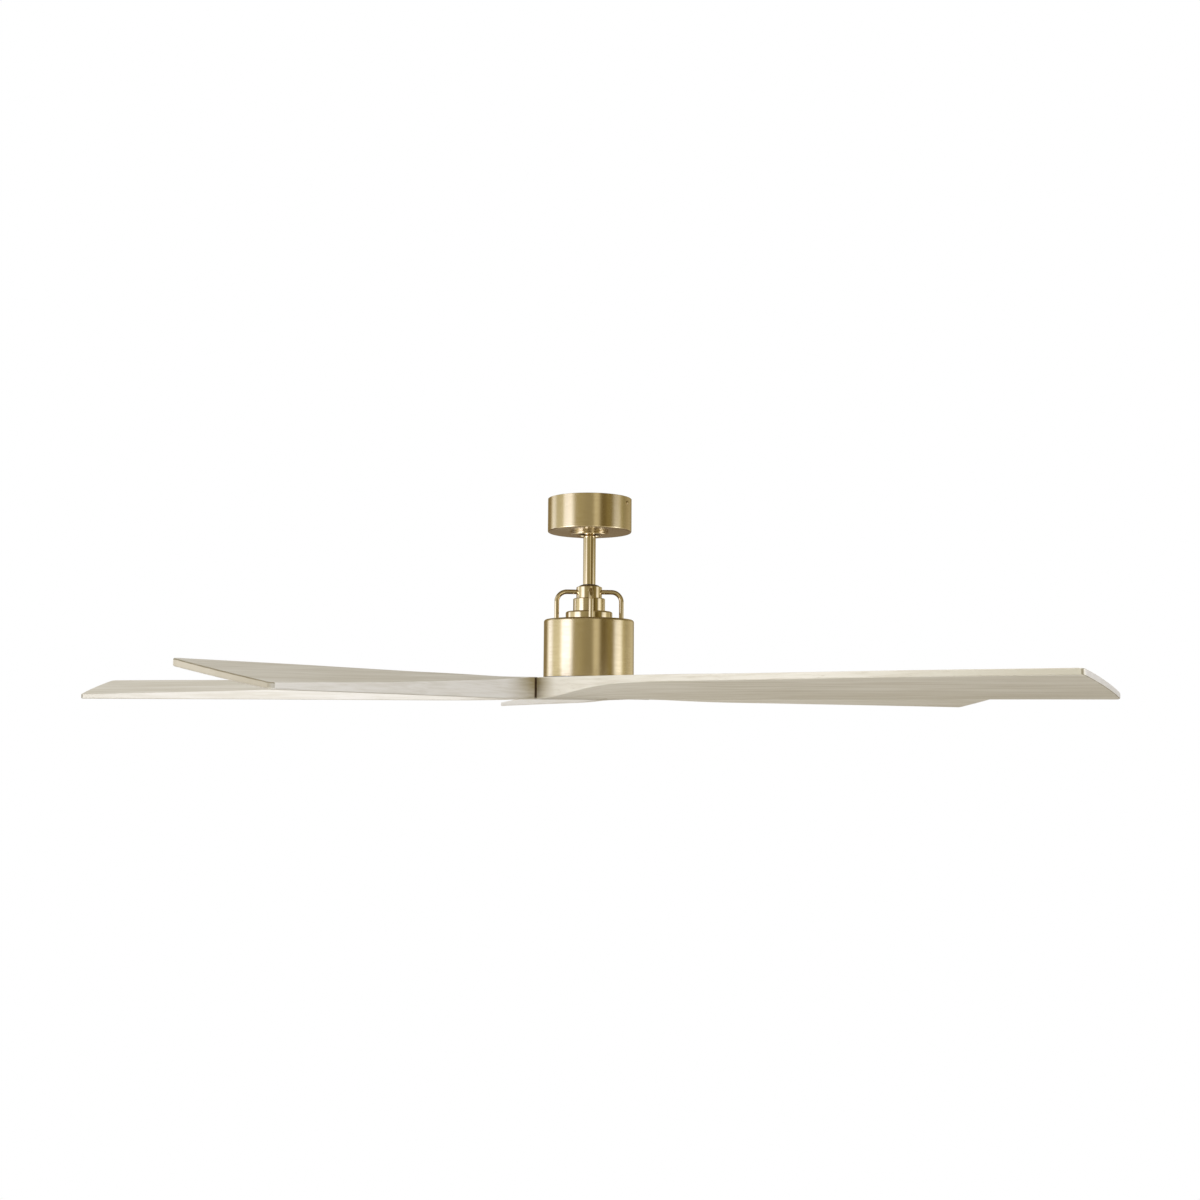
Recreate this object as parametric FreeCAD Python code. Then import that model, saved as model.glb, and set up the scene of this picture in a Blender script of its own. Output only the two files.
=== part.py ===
import FreeCAD, Part
import math
import os

# Ceiling fan with five carved wooden blades that spin under a brass motor housing.
# The ceiling is the plane z = 0 and the fan hangs down its Z axis. All sizes are in mm.

# Clearances and allowances
cut_over = 1.0
fit_gap = 0.05
hole_gap = 0.2
swing_gap = 0.3
run_gap = 2.0
seam_gap = 0.5

# Ceiling canopy, an open cup with a trim ring round its mouth
canopy_d = 143.3
canopy_h = 57.5
canopy_wall = 1.2
canopy_edge_r = 3.0
ring_d = 68.6
ring_bore_d = 41.0
ring_bead_h = 3.0
ring_neck_d = 66.6
ring_neck_h = 2.4
ring_round_r = 0.95
ring_spigot_d = 48.0
ring_lip_d = 51.5
ring_lip_h = 1.6

# Canopy screws, which go in from the side
canopy_screw_d = 4.0
canopy_screw_len = 7.0
canopy_screw_drop = 10.5
canopy_screw_angle = -27.0
canopy_screw_head_d = 7.0
canopy_screw_head_h = 1.8
canopy_screw_slot_w = 0.9

# Hanger bracket under the outlet box
bracket_edge = 8.0
bracket_t = 2.0
bracket_wire_d = 34.0
box_screw_spacing = 88.9
box_screw_d = 5.2
arm_t = 3.0
arm_w = 26.0
arm_lap = 2.0
cradle_wall = 4.7
cradle_mouth_gap = 1.1
ear_t = 1.6
ear_w = 14.0
ear_h = 18.0
key_t = 2.4
key_h = 12.0
key_above_centre = 3.0
key_tip_gap = 2.2

# Hanger ball, its seat and the hinge of both tilts at the ball's centre
ball_d = 44.0
ball_centre_drop = 27.0
ball_top_rise = 11.0
ball_bottom_drop = 17.0
ball_slot_depth = 5.0
ball_slot_w = 6.4
seat_t = 1.7
seat_top_drop = 3.5
seat_bottom_drop = 14.5
seat_split = 7.0
cradle_top_drop = 4.0
cradle_bottom_drop = 15.5
ball_pin_d = 6.0
ball_pin_inset = 3.5
ball_pin_bevel = 0.75
ball_pin_rise = 5.0
ball_screw_d = 5.0
ball_screw_inset = 2.1
ball_screw_drop = 3.0
ball_screw_angle = -45.0

# Receiver box and terminal block under the bracket's plate
receiver_w = 52.0
receiver_depth = 18.0
receiver_h = 34.0
receiver_round_r = 2.5
receiver_wall_gap = 1.5
terminal_w = 34.0
terminal_depth = 12.0
terminal_h = 11.0
terminal_gap = 11.0
terminal_pitch = 10.0
terminal_screw_d = 4.6
terminal_screw_len = 6.0
terminal_screw_proud = 0.8
terminal_cage_w = 6.5
terminal_cage_h = 3.6
terminal_cage_depth = 4.0
terminal_cage_rise = 2.8

# Downrod
rod_d = 21.3
rod_bore_d = 15.8
rod_show = 89.5
rod_above_ball = 2.0

# Gasket and the three visible collar pieces
gasket_d = 33.0
gasket_h = 2.5
collar_top_d = 43.6
collar_top_h = 21.5
collar_top_wall = 3.8
collar_top_lid = 4.2
collar_bevel_w = 5.3
collar_bevel_h = 2.3
collar_middle_d = 54.3
collar_middle_h = 22.5
collar_middle_edge = 1.2
flange_d = 79.5
flange_h = 14.0
flange_wall = 5.0
flange_lid = 3.0
flange_round_r = 3.0

# Yoke between the downrod and the motor shaft
yoke_room = 0.7
yoke_top_gap = 2.5
yoke_foot_room = 3.75
yoke_foot_h = 5.0
yoke_floor_drop = 0.5
clevis_d = 6.0
clevis_head_d = 9.0
clevis_head_h = 1.8
clevis_tail = 3.5
clevis_room = 2.0
clevis_rise = 13.5
clip_d = 10.0
clip_t = 1.0
clip_neck_d = 4.6
clip_mouth_w = 3.7
yoke_screw_d = 6.0
yoke_screw_proud = 1.8
yoke_screw_rise = 28.5
foot_screw_count = 4
foot_screw_angle = 45.0
foot_screw_d = 4.0
foot_screw_head_d = 7.0
foot_screw_head_h = 3.0
foot_screw_socket_d = 3.5
foot_screw_socket_h = 1.5

# Four bent guard rods from the collar down to the housing
guard_d = 8.0
guard_lean = 3.0
guard_bend_r = 17.0
guard_level = 10.1
guard_turn_angle = 3.5
guard_count = 4
guard_seat = 3.4
guard_stud_d = 5.0
guard_stud_len = 7.0
guard_nut_af = 8.0
guard_nut_h = 4.0

# Motor housing and the plate that backs its top
housing_d = 153.3
housing_h = 97.5
housing_wall = 1.5
housing_top_t = 2.0
housing_round_r = 5.5
housing_wire_room = 3.5
backing_over = 3.0
backing_t = 3.0

# Motor shaft, bearings and the rings that hold them
shaft_d = 17.0
shaft_wall = 2.2
shaft_in_yoke = 14.0
bearing_d = 40.0
bearing_w = 12.0
race_t = 3.6
race_groove = 1.2
bearing_ball_count = 8
circlip_proud = 2.5
circlip_t = 1.0
circlip_groove = 0.7
shaft_end_gap = 1.0

# Stator
stator_stack = 28.0
air_gap = 0.8
slot_depth = 31.9
tooth_count = 12
tooth_w = 7.0
shoe_t = 6.5
shoe_gap_angle = 4.0
winding_w = 18.0
winding_over = 5.0
winding_gap_angle = 1.5
winding_inset = 1.2

# Rotor shells, flux ring and magnets
rotor_side_gap = 1.95
shell_wall = 3.5
shell_end_t = 3.0
shell_lip_w = 5.2
shell_lip_t = 2.5
pocket_wall = 4.0
pocket_hole_d = 26.0
shell_screw_count = 6
shell_screw_d = 3.0
shell_screw_head_d = 5.0
shell_screw_head_h = 2.0
flux_ring_t = 4.4
flux_ring_over = 4.0
magnet_t = 3.3
magnet_over = 3.0
magnet_count = 16
magnet_gap_angle = 2.0

# Hub plate with the post that carries the cap
hub_plate_side_gap = 3.15
hub_plate_t = 4.0
hub_plate_gap = 0.1
post_d = 14.0
plate_screw_count = 6
plate_screw_room = 3.5
plate_screw_d = 5.0
plate_screw_head_d = 9.0
plate_screw_len = 6.5

# Blades. Offsets are measured square to each blade's own axis line, from the fan's axis
blade_count = 5
blade_turn_angle = -39.4
hub_h = 35.0
blade_reach = 889.3
lead_root = 101.6
lead_tip = 153.6
trail_root = 61.6
trail_tip = 18.4
tip_corner_r = 9.0
tip_bulge = 3.0
blade_edge_r = 1.8
blade_over = 30.0
trail_land = 3.0
rail_step_count = 24

# Heights along a blade: stations as shares of its reach, heights as shares of the hub's
station_shares = (0.0, 0.06, 0.11, 0.16, 0.28, 0.45, 0.7, 1.0)
lead_top_shares = (1.0, 1.0, 1.0, 1.01, 1.01, 0.98, 0.965, 0.917)
lead_bottom_shares = (0.0, 0.295, 0.512, 0.64, 0.691, 0.691, 0.685, 0.653)
trail_top_shares = (1.0, 1.0, 1.0, 0.931, 0.76, 0.587, 0.338, 0.109)
trail_bottom_shares = (0.0, 0.0, 0.0, -0.03, -0.078, -0.085, -0.095, -0.12)

# Blade screws and the flush cap under them
cap_d = 116.0
cap_t = 3.0
cap_bevel = 0.75
cap_pocket = 14.0
root_hole_d = 24.0
blade_screw_d = 6.0
blade_screw_circle_d = 84.0
blade_screw_spread_angle = 18.0
blade_screw_head_d = 11.0
blade_screw_head_h = 3.5
blade_screw_socket_d = 5.5
blade_screw_socket_h = 1.75
blade_screw_short = 0.5
cap_screw_d = 5.0
cap_screw_head_d = 9.5
cap_screw_len = 15.0
cap_screw_slot_w = 1.0
cap_screw_slot_len = 6.4
cap_screw_slot_depth = 1.0

# Widths that follow from the pieces that carry them
bracket_d = box_screw_spacing + box_screw_d + 2 * bracket_edge
seat_d = ball_d + 2 * swing_gap + 2 * seat_t
cradle_bore_d = seat_d + 2 * swing_gap
cradle_d = cradle_bore_d + 2 * cradle_wall
arm_inside = cradle_d - 2 * arm_lap
cradle_mouth = rod_d + 2 * cradle_mouth_gap
collar_top_bore_d = collar_top_d - 2 * collar_top_wall
yoke_d = collar_top_bore_d - 2 * yoke_screw_proud - 2 * yoke_room
collar_middle_bore_d = yoke_d + 2 * clevis_tail + 2 * clevis_room
yoke_foot_d = flange_d - 2 * flange_wall - 2 * yoke_foot_room
foot_screw_circle_d = (yoke_d + yoke_foot_d) / 2
backing_d = yoke_foot_d + 2 * backing_over
guard_circle_d = (flange_d + housing_d) / 2 - 2 * guard_lean
housing_bore_d = housing_d - 2 * housing_wall
housing_wire_d = shaft_d + 2 * housing_wire_room
shaft_bore_d = shaft_d - 2 * shaft_wall
circlip_neck_d = shaft_d - 2 * circlip_groove
circlip_d = shaft_d + 2 * circlip_proud
bearing_inner_d = shaft_d + 2 * race_t
bearing_outer_d = bearing_d - 2 * race_t
bearing_pitch_d = (bearing_inner_d + bearing_outer_d) / 2
bearing_ball_d = (bearing_outer_d - bearing_inner_d) / 2 + 2 * race_groove
pocket_d = bearing_d + 2 * pocket_wall
shell_lip_d = housing_bore_d - 2 * rotor_side_gap
shell_d = shell_lip_d - 2 * shell_lip_w
shell_bore_d = shell_d - 2 * shell_wall
shell_screw_circle_d = (shell_d + shell_lip_d) / 2
flux_ring_d = shell_bore_d - 2 * fit_gap
flux_ring_bore_d = flux_ring_d - 2 * flux_ring_t
magnet_ring_d = flux_ring_bore_d - 2 * fit_gap
magnet_ring_bore_d = magnet_ring_d - 2 * magnet_t
stator_d = magnet_ring_bore_d - 2 * air_gap
stator_hub_d = stator_d - 2 * slot_depth
hub_plate_d = housing_bore_d - 2 * hub_plate_side_gap
plate_screw_circle_d = pocket_d + plate_screw_d + 2 * plate_screw_room
rotor_h = stator_stack + 2 * (winding_over + run_gap + bearing_w + shell_end_t)

# Levels, from the ceiling down
canopy_bottom_z = -canopy_h
gasket_top_z = canopy_bottom_z - rod_show
collar_top_z = gasket_top_z - gasket_h
collar_middle_z = collar_top_z - collar_top_h
flange_top_z = collar_middle_z - collar_middle_h
housing_top_z = flange_top_z - flange_h
housing_bottom_z = housing_top_z - housing_h
blade_top_z = housing_bottom_z - run_gap
hub_bottom_z = blade_top_z - hub_h
ball_z = -ball_centre_drop
rod_top_z = ball_z + ball_top_rise + rod_above_ball
hub_plate_top_z = blade_top_z + hub_plate_t
rotor_bottom_z = hub_plate_top_z
rotor_top_z = rotor_bottom_z + rotor_h
rotor_middle_z = rotor_bottom_z + rotor_h / 2
lower_bearing_z = rotor_bottom_z + shell_end_t
upper_bearing_z = rotor_top_z - shell_end_t - bearing_w
shaft_top_z = housing_top_z + shaft_in_yoke
yoke_step_z = shaft_top_z + yoke_floor_drop
clevis_z = flange_top_z + clevis_rise
guard_z = collar_top_z - guard_level
pocket_roof_z = hub_bottom_z + cap_pocket


def vec(x, y, z):
    return FreeCAD.Vector(x, y, z)


axis_foot = vec(0, 0, 0)
up = vec(0, 0, 1)


def disc(diameter, low, high):
    """A round solid on the fan's axis between two levels."""
    return Part.makeCylinder(diameter / 2, high - low, vec(0, 0, low))


def tube(outer, bore, low, high):
    """A round solid with a bore right through it."""
    return disc(outer, low, high).cut(disc(bore, low - cut_over, high + cut_over))


def block(x_low, x_high, y_low, y_high, z_low, z_high):
    """A square block between six planes."""
    return Part.makeBox(x_high - x_low, y_high - y_low, z_high - z_low, vec(x_low, y_low, z_low))


def pin(diameter, start, along, length):
    """A round pin from a point, in a direction."""
    return Part.makeCylinder(diameter / 2, length, start, along)


def turned(shape, angle):
    """A copy of a shape, turned about the fan's axis."""
    copy = shape.copy()
    copy.rotate(axis_foot, up, angle)
    return copy


def spread(shape, count, first=0):
    """Copies of a shape, evenly spaced round the fan's axis."""
    return [turned(shape, first + 360 / count * index) for index in range(count)]


def cut_all(shape, tools):
    for tool in tools:
        shape = shape.cut(tool)
    return shape


def fuse_all(shapes):
    whole = shapes[0]
    for shape in shapes[1:]:
        whole = whole.fuse(shape)
    return whole.removeSplitter()


def sphere(diameter):
    """A ball about the hanger ball's centre."""
    return Part.makeSphere(diameter / 2, vec(0, 0, ball_z))


def rounded(shape, radius, chosen):
    """Rounds the edges that the test picks."""
    return shape.makeFillet(radius, [edge for edge in shape.Edges if chosen(edge)])


def bevelled(shape, size, chosen):
    """Bevels the edges that the test picks."""
    return shape.makeChamfer(size, [edge for edge in shape.Edges if chosen(edge)])


def flat_at(edge, level):
    """Says whether an edge lies in one level plane."""
    box = edge.BoundBox
    return abs(box.ZMin - level) < fit_gap / 10 and abs(box.ZMax - level) < fit_gap / 10


def wide_as(edge, diameter):
    """Says whether a round edge has a diameter."""
    return abs(edge.BoundBox.XLength - diameter) < fit_gap


def rim_at(edge, diameter, level):
    """Says whether an edge is the round one of a diameter at a level."""
    return flat_at(edge, level) and wide_as(edge, diameter)


def radial(angle):
    """The unit direction at an angle about the fan's axis."""
    return vec(math.cos(math.radians(angle)), math.sin(math.radians(angle)), 0)


# Ceiling fitting


def canopy():
    cup = disc(canopy_d, canopy_bottom_z, 0)
    cup = rounded(cup, canopy_edge_r, lambda edge: flat_at(edge, canopy_bottom_z))
    floor_z = canopy_bottom_z + canopy_wall
    inside = disc(canopy_d - 2 * canopy_wall, floor_z, cut_over)
    inside = rounded(inside, canopy_edge_r - canopy_wall, lambda edge: flat_at(edge, floor_z))
    mouth = disc(ring_spigot_d + 2 * fit_gap, canopy_bottom_z - cut_over, floor_z + cut_over)
    along = radial(canopy_screw_angle)
    hole = pin(canopy_screw_d + 2 * hole_gap, vec(0, 0, -canopy_screw_drop), along, canopy_d)
    return cut_all(cup, [inside, mouth] + spread(hole, 2))


def canopy_ring():
    neck_z = canopy_bottom_z - ring_neck_h
    bead_z = neck_z - ring_bead_h
    neck = disc(ring_neck_d, neck_z, canopy_bottom_z)
    neck = rounded(neck, ring_round_r, lambda edge: wide_as(edge, ring_neck_d))
    bead = disc(ring_d, bead_z, neck_z)
    bead = rounded(bead, ring_round_r, lambda edge: wide_as(edge, ring_d))
    floor_z = canopy_bottom_z + canopy_wall
    spigot = disc(ring_spigot_d, canopy_bottom_z, floor_z)
    lip = disc(ring_lip_d, floor_z, floor_z + ring_lip_h)
    whole = fuse_all([neck, bead, spigot, lip])
    whole = whole.cut(disc(ring_bore_d, bead_z - cut_over, floor_z + ring_lip_h + cut_over))
    return rounded(whole, ring_round_r, lambda edge: rim_at(edge, ring_bore_d, bead_z))


def canopy_screws():
    along = radial(canopy_screw_angle)
    seat = canopy_d / 2 + fit_gap
    level = vec(0, 0, -canopy_screw_drop)
    shank = pin(canopy_screw_d, level + along * (seat - canopy_screw_len), along, canopy_screw_len)
    head = pin(canopy_screw_head_d, level + along * seat, along, canopy_screw_head_h)
    outer = seat + canopy_screw_head_h
    round_r = canopy_screw_head_h / 2
    head = rounded(head, round_r, lambda edge: abs(edge.CenterOfMass.dot(along) - outer) < fit_gap)
    half = canopy_screw_slot_w / 2
    slot = block(
        outer - half, outer + cut_over, -canopy_screw_head_d, canopy_screw_head_d,
        -canopy_screw_drop - half, -canopy_screw_drop + half,
    )
    screw = fuse_all([shank, head]).cut(turned(slot, canopy_screw_angle))
    return spread(screw, 2)


def hanger_bracket():
    plate = disc(bracket_d, -bracket_t, 0)
    cradle_top = ball_z - cradle_top_drop
    cradle_bottom = ball_z - cradle_bottom_drop
    arm_x = arm_inside / 2
    arm = block(arm_x, arm_x + arm_t, -arm_w / 2, arm_w / 2, cradle_bottom, -bracket_t / 2)
    cradle = disc(cradle_d, cradle_bottom, cradle_top)
    ear_face = canopy_d / 2 - canopy_wall - 2 * swing_gap
    tongue = block(0, ear_face, -ear_w / 2, ear_w / 2, -bracket_t, 0)
    ear = block(ear_face - ear_t, ear_face, -ear_w / 2, ear_w / 2, -ear_h, 0)
    ears = spread(tongue.fuse(ear), 2, canopy_screw_angle)
    whole = fuse_all([plate, cradle] + spread(arm, 2) + ears)
    whole = whole.cut(sphere(cradle_bore_d))
    half = cradle_mouth / 2
    mouth = block(-half, half, -cradle_d, 0, cradle_bottom - cut_over, cradle_top + cut_over)
    key_top = ball_z + key_above_centre
    key_tip = ball_d / 2 - ball_slot_depth + key_tip_gap
    key = block(-key_t / 2, key_t / 2, key_tip, cradle_d / 2, key_top - key_h, key_top)
    whole = whole.cut(mouth).fuse(key).removeSplitter()
    wire_way = disc(bracket_wire_d, -bracket_t - cut_over, cut_over)
    box_hole_start = vec(box_screw_spacing / 2, 0, -bracket_t - cut_over)
    box_hole = pin(box_screw_d, box_hole_start, up, bracket_t + 2 * cut_over)
    along = radial(canopy_screw_angle)
    ear_hole_start = vec(0, 0, -canopy_screw_drop) + along * (ear_face - ear_t - cut_over)
    ear_hole = pin(canopy_screw_d + 2 * fit_gap, ear_hole_start, along, ear_t + 2 * cut_over)
    return cut_all(whole, [wire_way] + spread(box_hole, 2) + spread(ear_hole, 2))


def receiver_module():
    top = -bracket_t
    half = receiver_w / 2
    reach = canopy_d / 2 - canopy_wall - receiver_wall_gap
    back = math.sqrt(reach * reach - half * half)
    case = block(-half, half, back - receiver_depth, back, top - receiver_h, top)
    return rounded(case, receiver_round_r, lambda edge: not flat_at(edge, top))


def terminal_places():
    """The three wire ways, from left to right."""
    return [-terminal_pitch, 0, terminal_pitch]


def terminal_block():
    top = -bracket_t
    bottom = top - terminal_h
    back = -cradle_d / 2 - terminal_gap
    front = back - terminal_depth
    body = block(-terminal_w / 2, terminal_w / 2, front, back, bottom, top)
    low = bottom + terminal_cage_rise
    half = terminal_cage_w / 2
    inner = front + terminal_cage_depth
    hole_len = terminal_screw_len - terminal_screw_proud + cut_over
    for place in terminal_places():
        way = block(place - half, place + half, front - cut_over, inner, low, low + terminal_cage_h)
        hole_start = vec(place, (front + back) / 2, bottom - cut_over)
        hole = pin(terminal_screw_d + 2 * fit_gap, hole_start, up, hole_len)
        body = body.cut(way).cut(hole)
    return body


def terminal_screws():
    middle = -cradle_d / 2 - terminal_gap - terminal_depth / 2
    start = -bracket_t - terminal_h - terminal_screw_proud
    starts = [vec(place, middle, start) for place in terminal_places()]
    return [pin(terminal_screw_d, start, up, terminal_screw_len) for start in starts]


# Hanger ball and downrod


def ball_seat():
    shell = sphere(seat_d).cut(sphere(ball_d + 2 * swing_gap))
    zone = disc(2 * seat_d, ball_z - seat_bottom_drop, ball_z - seat_top_drop)
    split = block(-seat_split / 2, seat_split / 2, 0, seat_d, ball_z - ball_d, ball_z + ball_d)
    return shell.common(zone).cut(split)


def ball_screw_hole(diameter, start, length):
    along = radial(ball_screw_angle)
    return pin(diameter, vec(0, 0, ball_z - ball_screw_drop) + along * start, along, length)


def ball_reach(level):
    """How far the ball's surface lies from its own axis, at a level from its centre."""
    return math.sqrt((ball_d / 2) ** 2 - level ** 2)


def ball_pin_len():
    return 2 * (ball_reach(ball_pin_rise + ball_pin_d / 2) - ball_pin_inset)


def hanger_ball():
    zone = disc(2 * ball_d, ball_z - ball_bottom_drop, ball_z + ball_top_rise)
    bore = disc(rod_d + 2 * fit_gap, ball_z - ball_d, ball_z + ball_d)
    half_w = ball_pin_d / 2 + fit_gap
    half_l = ball_pin_len() / 2 + hole_gap
    pin_z = ball_z + ball_pin_rise
    pin_slot = block(-half_l, half_l, -half_w, half_w, pin_z, ball_z + ball_d)
    pin_bed = pin(ball_pin_d + 2 * fit_gap, vec(-half_l, 0, pin_z), vec(1, 0, 0), 2 * half_l)
    half_slot = ball_slot_w / 2
    floor = ball_d / 2 - ball_slot_depth
    key_slot = block(-half_slot, half_slot, floor, ball_d, ball_z - ball_d, ball_z + ball_d)
    screw_hole = ball_screw_hole(ball_screw_d + 2 * fit_gap, 0, ball_d)
    return cut_all(sphere(ball_d).common(zone), [bore, pin_slot, pin_bed, key_slot, screw_hole])


def ball_cross_pin():
    length = ball_pin_len()
    body = pin(ball_pin_d, vec(-length / 2, 0, ball_z + ball_pin_rise), vec(1, 0, 0), length)
    return bevelled(body, ball_pin_bevel, lambda edge: abs(edge.BoundBox.XLength) < fit_gap)


def ball_set_screw():
    start = rod_d / 2 + fit_gap
    reach = ball_reach(ball_screw_drop + ball_screw_d / 2) - ball_screw_inset
    return ball_screw_hole(ball_screw_d, start, reach - start)


def downrod():
    body = tube(rod_d, rod_bore_d, yoke_step_z + fit_gap, rod_top_z)
    upper = pin(ball_pin_d + 2 * fit_gap, vec(-rod_d, 0, ball_z + ball_pin_rise), vec(1, 0, 0), 2 * rod_d)
    lower = pin(clevis_d + 2 * fit_gap, vec(-rod_d, 0, clevis_z), vec(1, 0, 0), 2 * rod_d)
    return cut_all(body, [upper, lower])


def rod_gasket():
    return tube(gasket_d, rod_d + 2 * fit_gap, collar_top_z, gasket_top_z)


# Collar and yoke


def collar_top():
    bevel_z = collar_top_z - collar_bevel_h
    outer = collar_top_d / 2
    body = disc(collar_top_d, collar_middle_z, bevel_z)
    cone = Part.makeCone(outer, outer - collar_bevel_w, collar_bevel_h, vec(0, 0, bevel_z))
    lid_z = collar_top_z - collar_top_lid
    bore = disc(collar_top_bore_d, collar_middle_z - cut_over, lid_z)
    rod_hole = disc(rod_d + 2 * hole_gap, lid_z - cut_over, collar_top_z + cut_over)
    hole = pin(guard_d + 2 * fit_gap, vec(0, 0, guard_z), vec(1, 0, 0), collar_top_d)
    holes = spread(hole, guard_count, guard_turn_angle)
    return cut_all(fuse_all([body, cone]), [bore, rod_hole] + holes)


def collar_middle():
    body = tube(collar_middle_d, collar_middle_bore_d, flange_top_z, collar_middle_z)
    return bevelled(body, collar_middle_edge, lambda edge: rim_at(edge, collar_middle_d, collar_middle_z))


def collar_flange():
    body = disc(flange_d, housing_top_z, flange_top_z)
    body = rounded(body, flange_round_r, lambda edge: flat_at(edge, flange_top_z))
    lid_z = flange_top_z - flange_lid
    room = disc(flange_d - 2 * flange_wall, housing_top_z - cut_over, lid_z)
    hole = disc(collar_middle_bore_d, lid_z - cut_over, flange_top_z + cut_over)
    return cut_all(body, [room, hole])


def foot_screw_places():
    """The middles of the screws through the yoke's foot."""
    angles = [foot_screw_angle + 360 / foot_screw_count * index for index in range(foot_screw_count)]
    return [radial(angle) * (foot_screw_circle_d / 2) for angle in angles]


def foot_holes(diameter, low, high):
    return [pin(diameter, place + vec(0, 0, low), up, high - low) for place in foot_screw_places()]


def yoke_screw_axes():
    """The start level and direction of each set screw, two at the rod and one at the shaft."""
    rod_level = flange_top_z + yoke_screw_rise
    shaft_level = (housing_top_z + yoke_foot_h + yoke_step_z) / 2
    return [(rod_level, 90, rod_d), (rod_level, -90, rod_d), (shaft_level, 90, shaft_d)]


def yoke():
    foot_z = housing_top_z + yoke_foot_h
    top = collar_top_z - collar_top_lid - yoke_top_gap
    body = fuse_all([disc(yoke_foot_d, housing_top_z, foot_z), disc(yoke_d, foot_z, top)])
    rod_bore = disc(rod_d + 2 * fit_gap, yoke_step_z, top + cut_over)
    shaft_bore = disc(shaft_d + 2 * fit_gap, housing_top_z - cut_over, yoke_step_z + cut_over)
    cross = pin(clevis_d + 2 * fit_gap, vec(-yoke_d, 0, clevis_z), vec(1, 0, 0), 2 * yoke_d)
    screws = [
        pin(yoke_screw_d, vec(0, 0, level), radial(angle), yoke_d)
        for level, angle, inner in yoke_screw_axes()
    ]
    feet = foot_holes(foot_screw_d + 2 * fit_gap, housing_top_z - cut_over, foot_z + cut_over)
    return cut_all(body, [rod_bore, shaft_bore, cross] + screws + feet)


def yoke_set_screws():
    screws = []
    for level, angle, inner in yoke_screw_axes():
        start = inner / 2 + fit_gap
        length = yoke_d / 2 + yoke_screw_proud - start
        along = radial(angle)
        screws.append(pin(yoke_screw_d - 2 * fit_gap, vec(0, 0, level) + along * start, along, length))
    return screws


def yoke_foot_screws():
    foot_z = housing_top_z + yoke_foot_h
    bottom = housing_top_z - housing_top_t - backing_t
    shanks = foot_holes(foot_screw_d, bottom, foot_z)
    head_top = foot_z + foot_screw_head_h
    heads = foot_holes(foot_screw_head_d, foot_z, head_top)
    sockets = foot_holes(foot_screw_socket_d, head_top - foot_screw_socket_h, head_top + cut_over)
    return [fuse_all([shank, head]).cut(socket) for shank, head, socket in zip(shanks, heads, sockets)]


def yoke_clevis_pin():
    reach = yoke_d / 2 + fit_gap
    along = vec(1, 0, 0)
    body = pin(clevis_d, vec(-reach - clevis_tail, 0, clevis_z), along, 2 * reach + clevis_tail)
    head = pin(clevis_head_d, vec(reach, 0, clevis_z), along, clevis_head_h)
    neck_w = clip_t + 2 * fit_gap
    neck_start = vec(clip_x() - fit_gap, 0, clevis_z)
    neck = pin(2 * clevis_d, neck_start, along, neck_w).cut(pin(clip_neck_d, neck_start, along, neck_w))
    return fuse_all([body, head]).cut(neck)


def clip_x():
    """The outer face of the clip that keeps the clevis pin in."""
    return -yoke_d / 2 - 2 * fit_gap - clip_t


def pin_clip():
    start = vec(clip_x(), 0, clevis_z)
    along = vec(1, 0, 0)
    ring = pin(clip_d, start, along, clip_t).cut(pin(clip_neck_d + 2 * fit_gap, start, along, clip_t))
    mouth = block(-yoke_d, 0, -clip_mouth_w / 2, clip_mouth_w / 2, clevis_z - clip_d, clevis_z)
    return ring.cut(mouth)


# Guard rods


def guard_rod():
    outer = guard_circle_d / 2
    bend_x = outer - guard_bend_r
    bend_z = guard_z - guard_bend_r
    inner = collar_top_d / 2 - guard_seat
    level = pin(guard_d, vec(inner, 0, guard_z), vec(1, 0, 0), bend_x - inner)
    circle = Part.Wire(Part.makeCircle(guard_d / 2, vec(bend_x, 0, guard_z), vec(1, 0, 0)))
    bend = Part.Face(circle).revolve(vec(bend_x, 0, bend_z), vec(0, 1, 0), 90)
    leg = pin(guard_d, vec(outer, 0, housing_top_z), up, bend_z - housing_top_z)
    stud = pin(guard_stud_d, vec(outer, 0, housing_top_z - guard_stud_len), up, guard_stud_len)
    return fuse_all([level, bend, leg, stud])


def guard_nuts():
    outer = guard_circle_d / 2
    top = housing_top_z - housing_top_t
    corner = guard_nut_af / 2 / math.cos(math.radians(30))
    points = [vec(outer, 0, top) + radial(60 * index) * corner for index in range(6)]
    hexagon = Part.Face(Part.makePolygon(points + points[:1]))
    nut = hexagon.extrude(vec(0, 0, -guard_nut_h))
    bottom = vec(outer, 0, top - guard_nut_h)
    nut = nut.cut(pin(guard_stud_d + 2 * fit_gap, bottom, up, guard_nut_h))
    return spread(nut, guard_count, guard_turn_angle)


# Motor housing, shaft and stator


def motor_housing():
    can = disc(housing_d, housing_bottom_z, housing_top_z)
    can = rounded(can, housing_round_r, lambda edge: flat_at(edge, housing_top_z))
    lid_z = housing_top_z - housing_top_t
    inside = disc(housing_bore_d, housing_bottom_z - cut_over, lid_z)
    inside = rounded(inside, housing_round_r - housing_wall, lambda edge: flat_at(edge, lid_z))
    centre = disc(housing_wire_d, lid_z - cut_over, housing_top_z + cut_over)
    stud_start = vec(guard_circle_d / 2, 0, lid_z - cut_over)
    stud = pin(guard_stud_d + 2 * fit_gap, stud_start, up, housing_top_t + 2 * cut_over)
    holes = spread(stud, guard_count, guard_turn_angle)
    feet = foot_holes(foot_screw_d + 2 * fit_gap, lid_z - cut_over, housing_top_z + cut_over)
    return cut_all(can, [inside, centre] + holes + feet)


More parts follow.
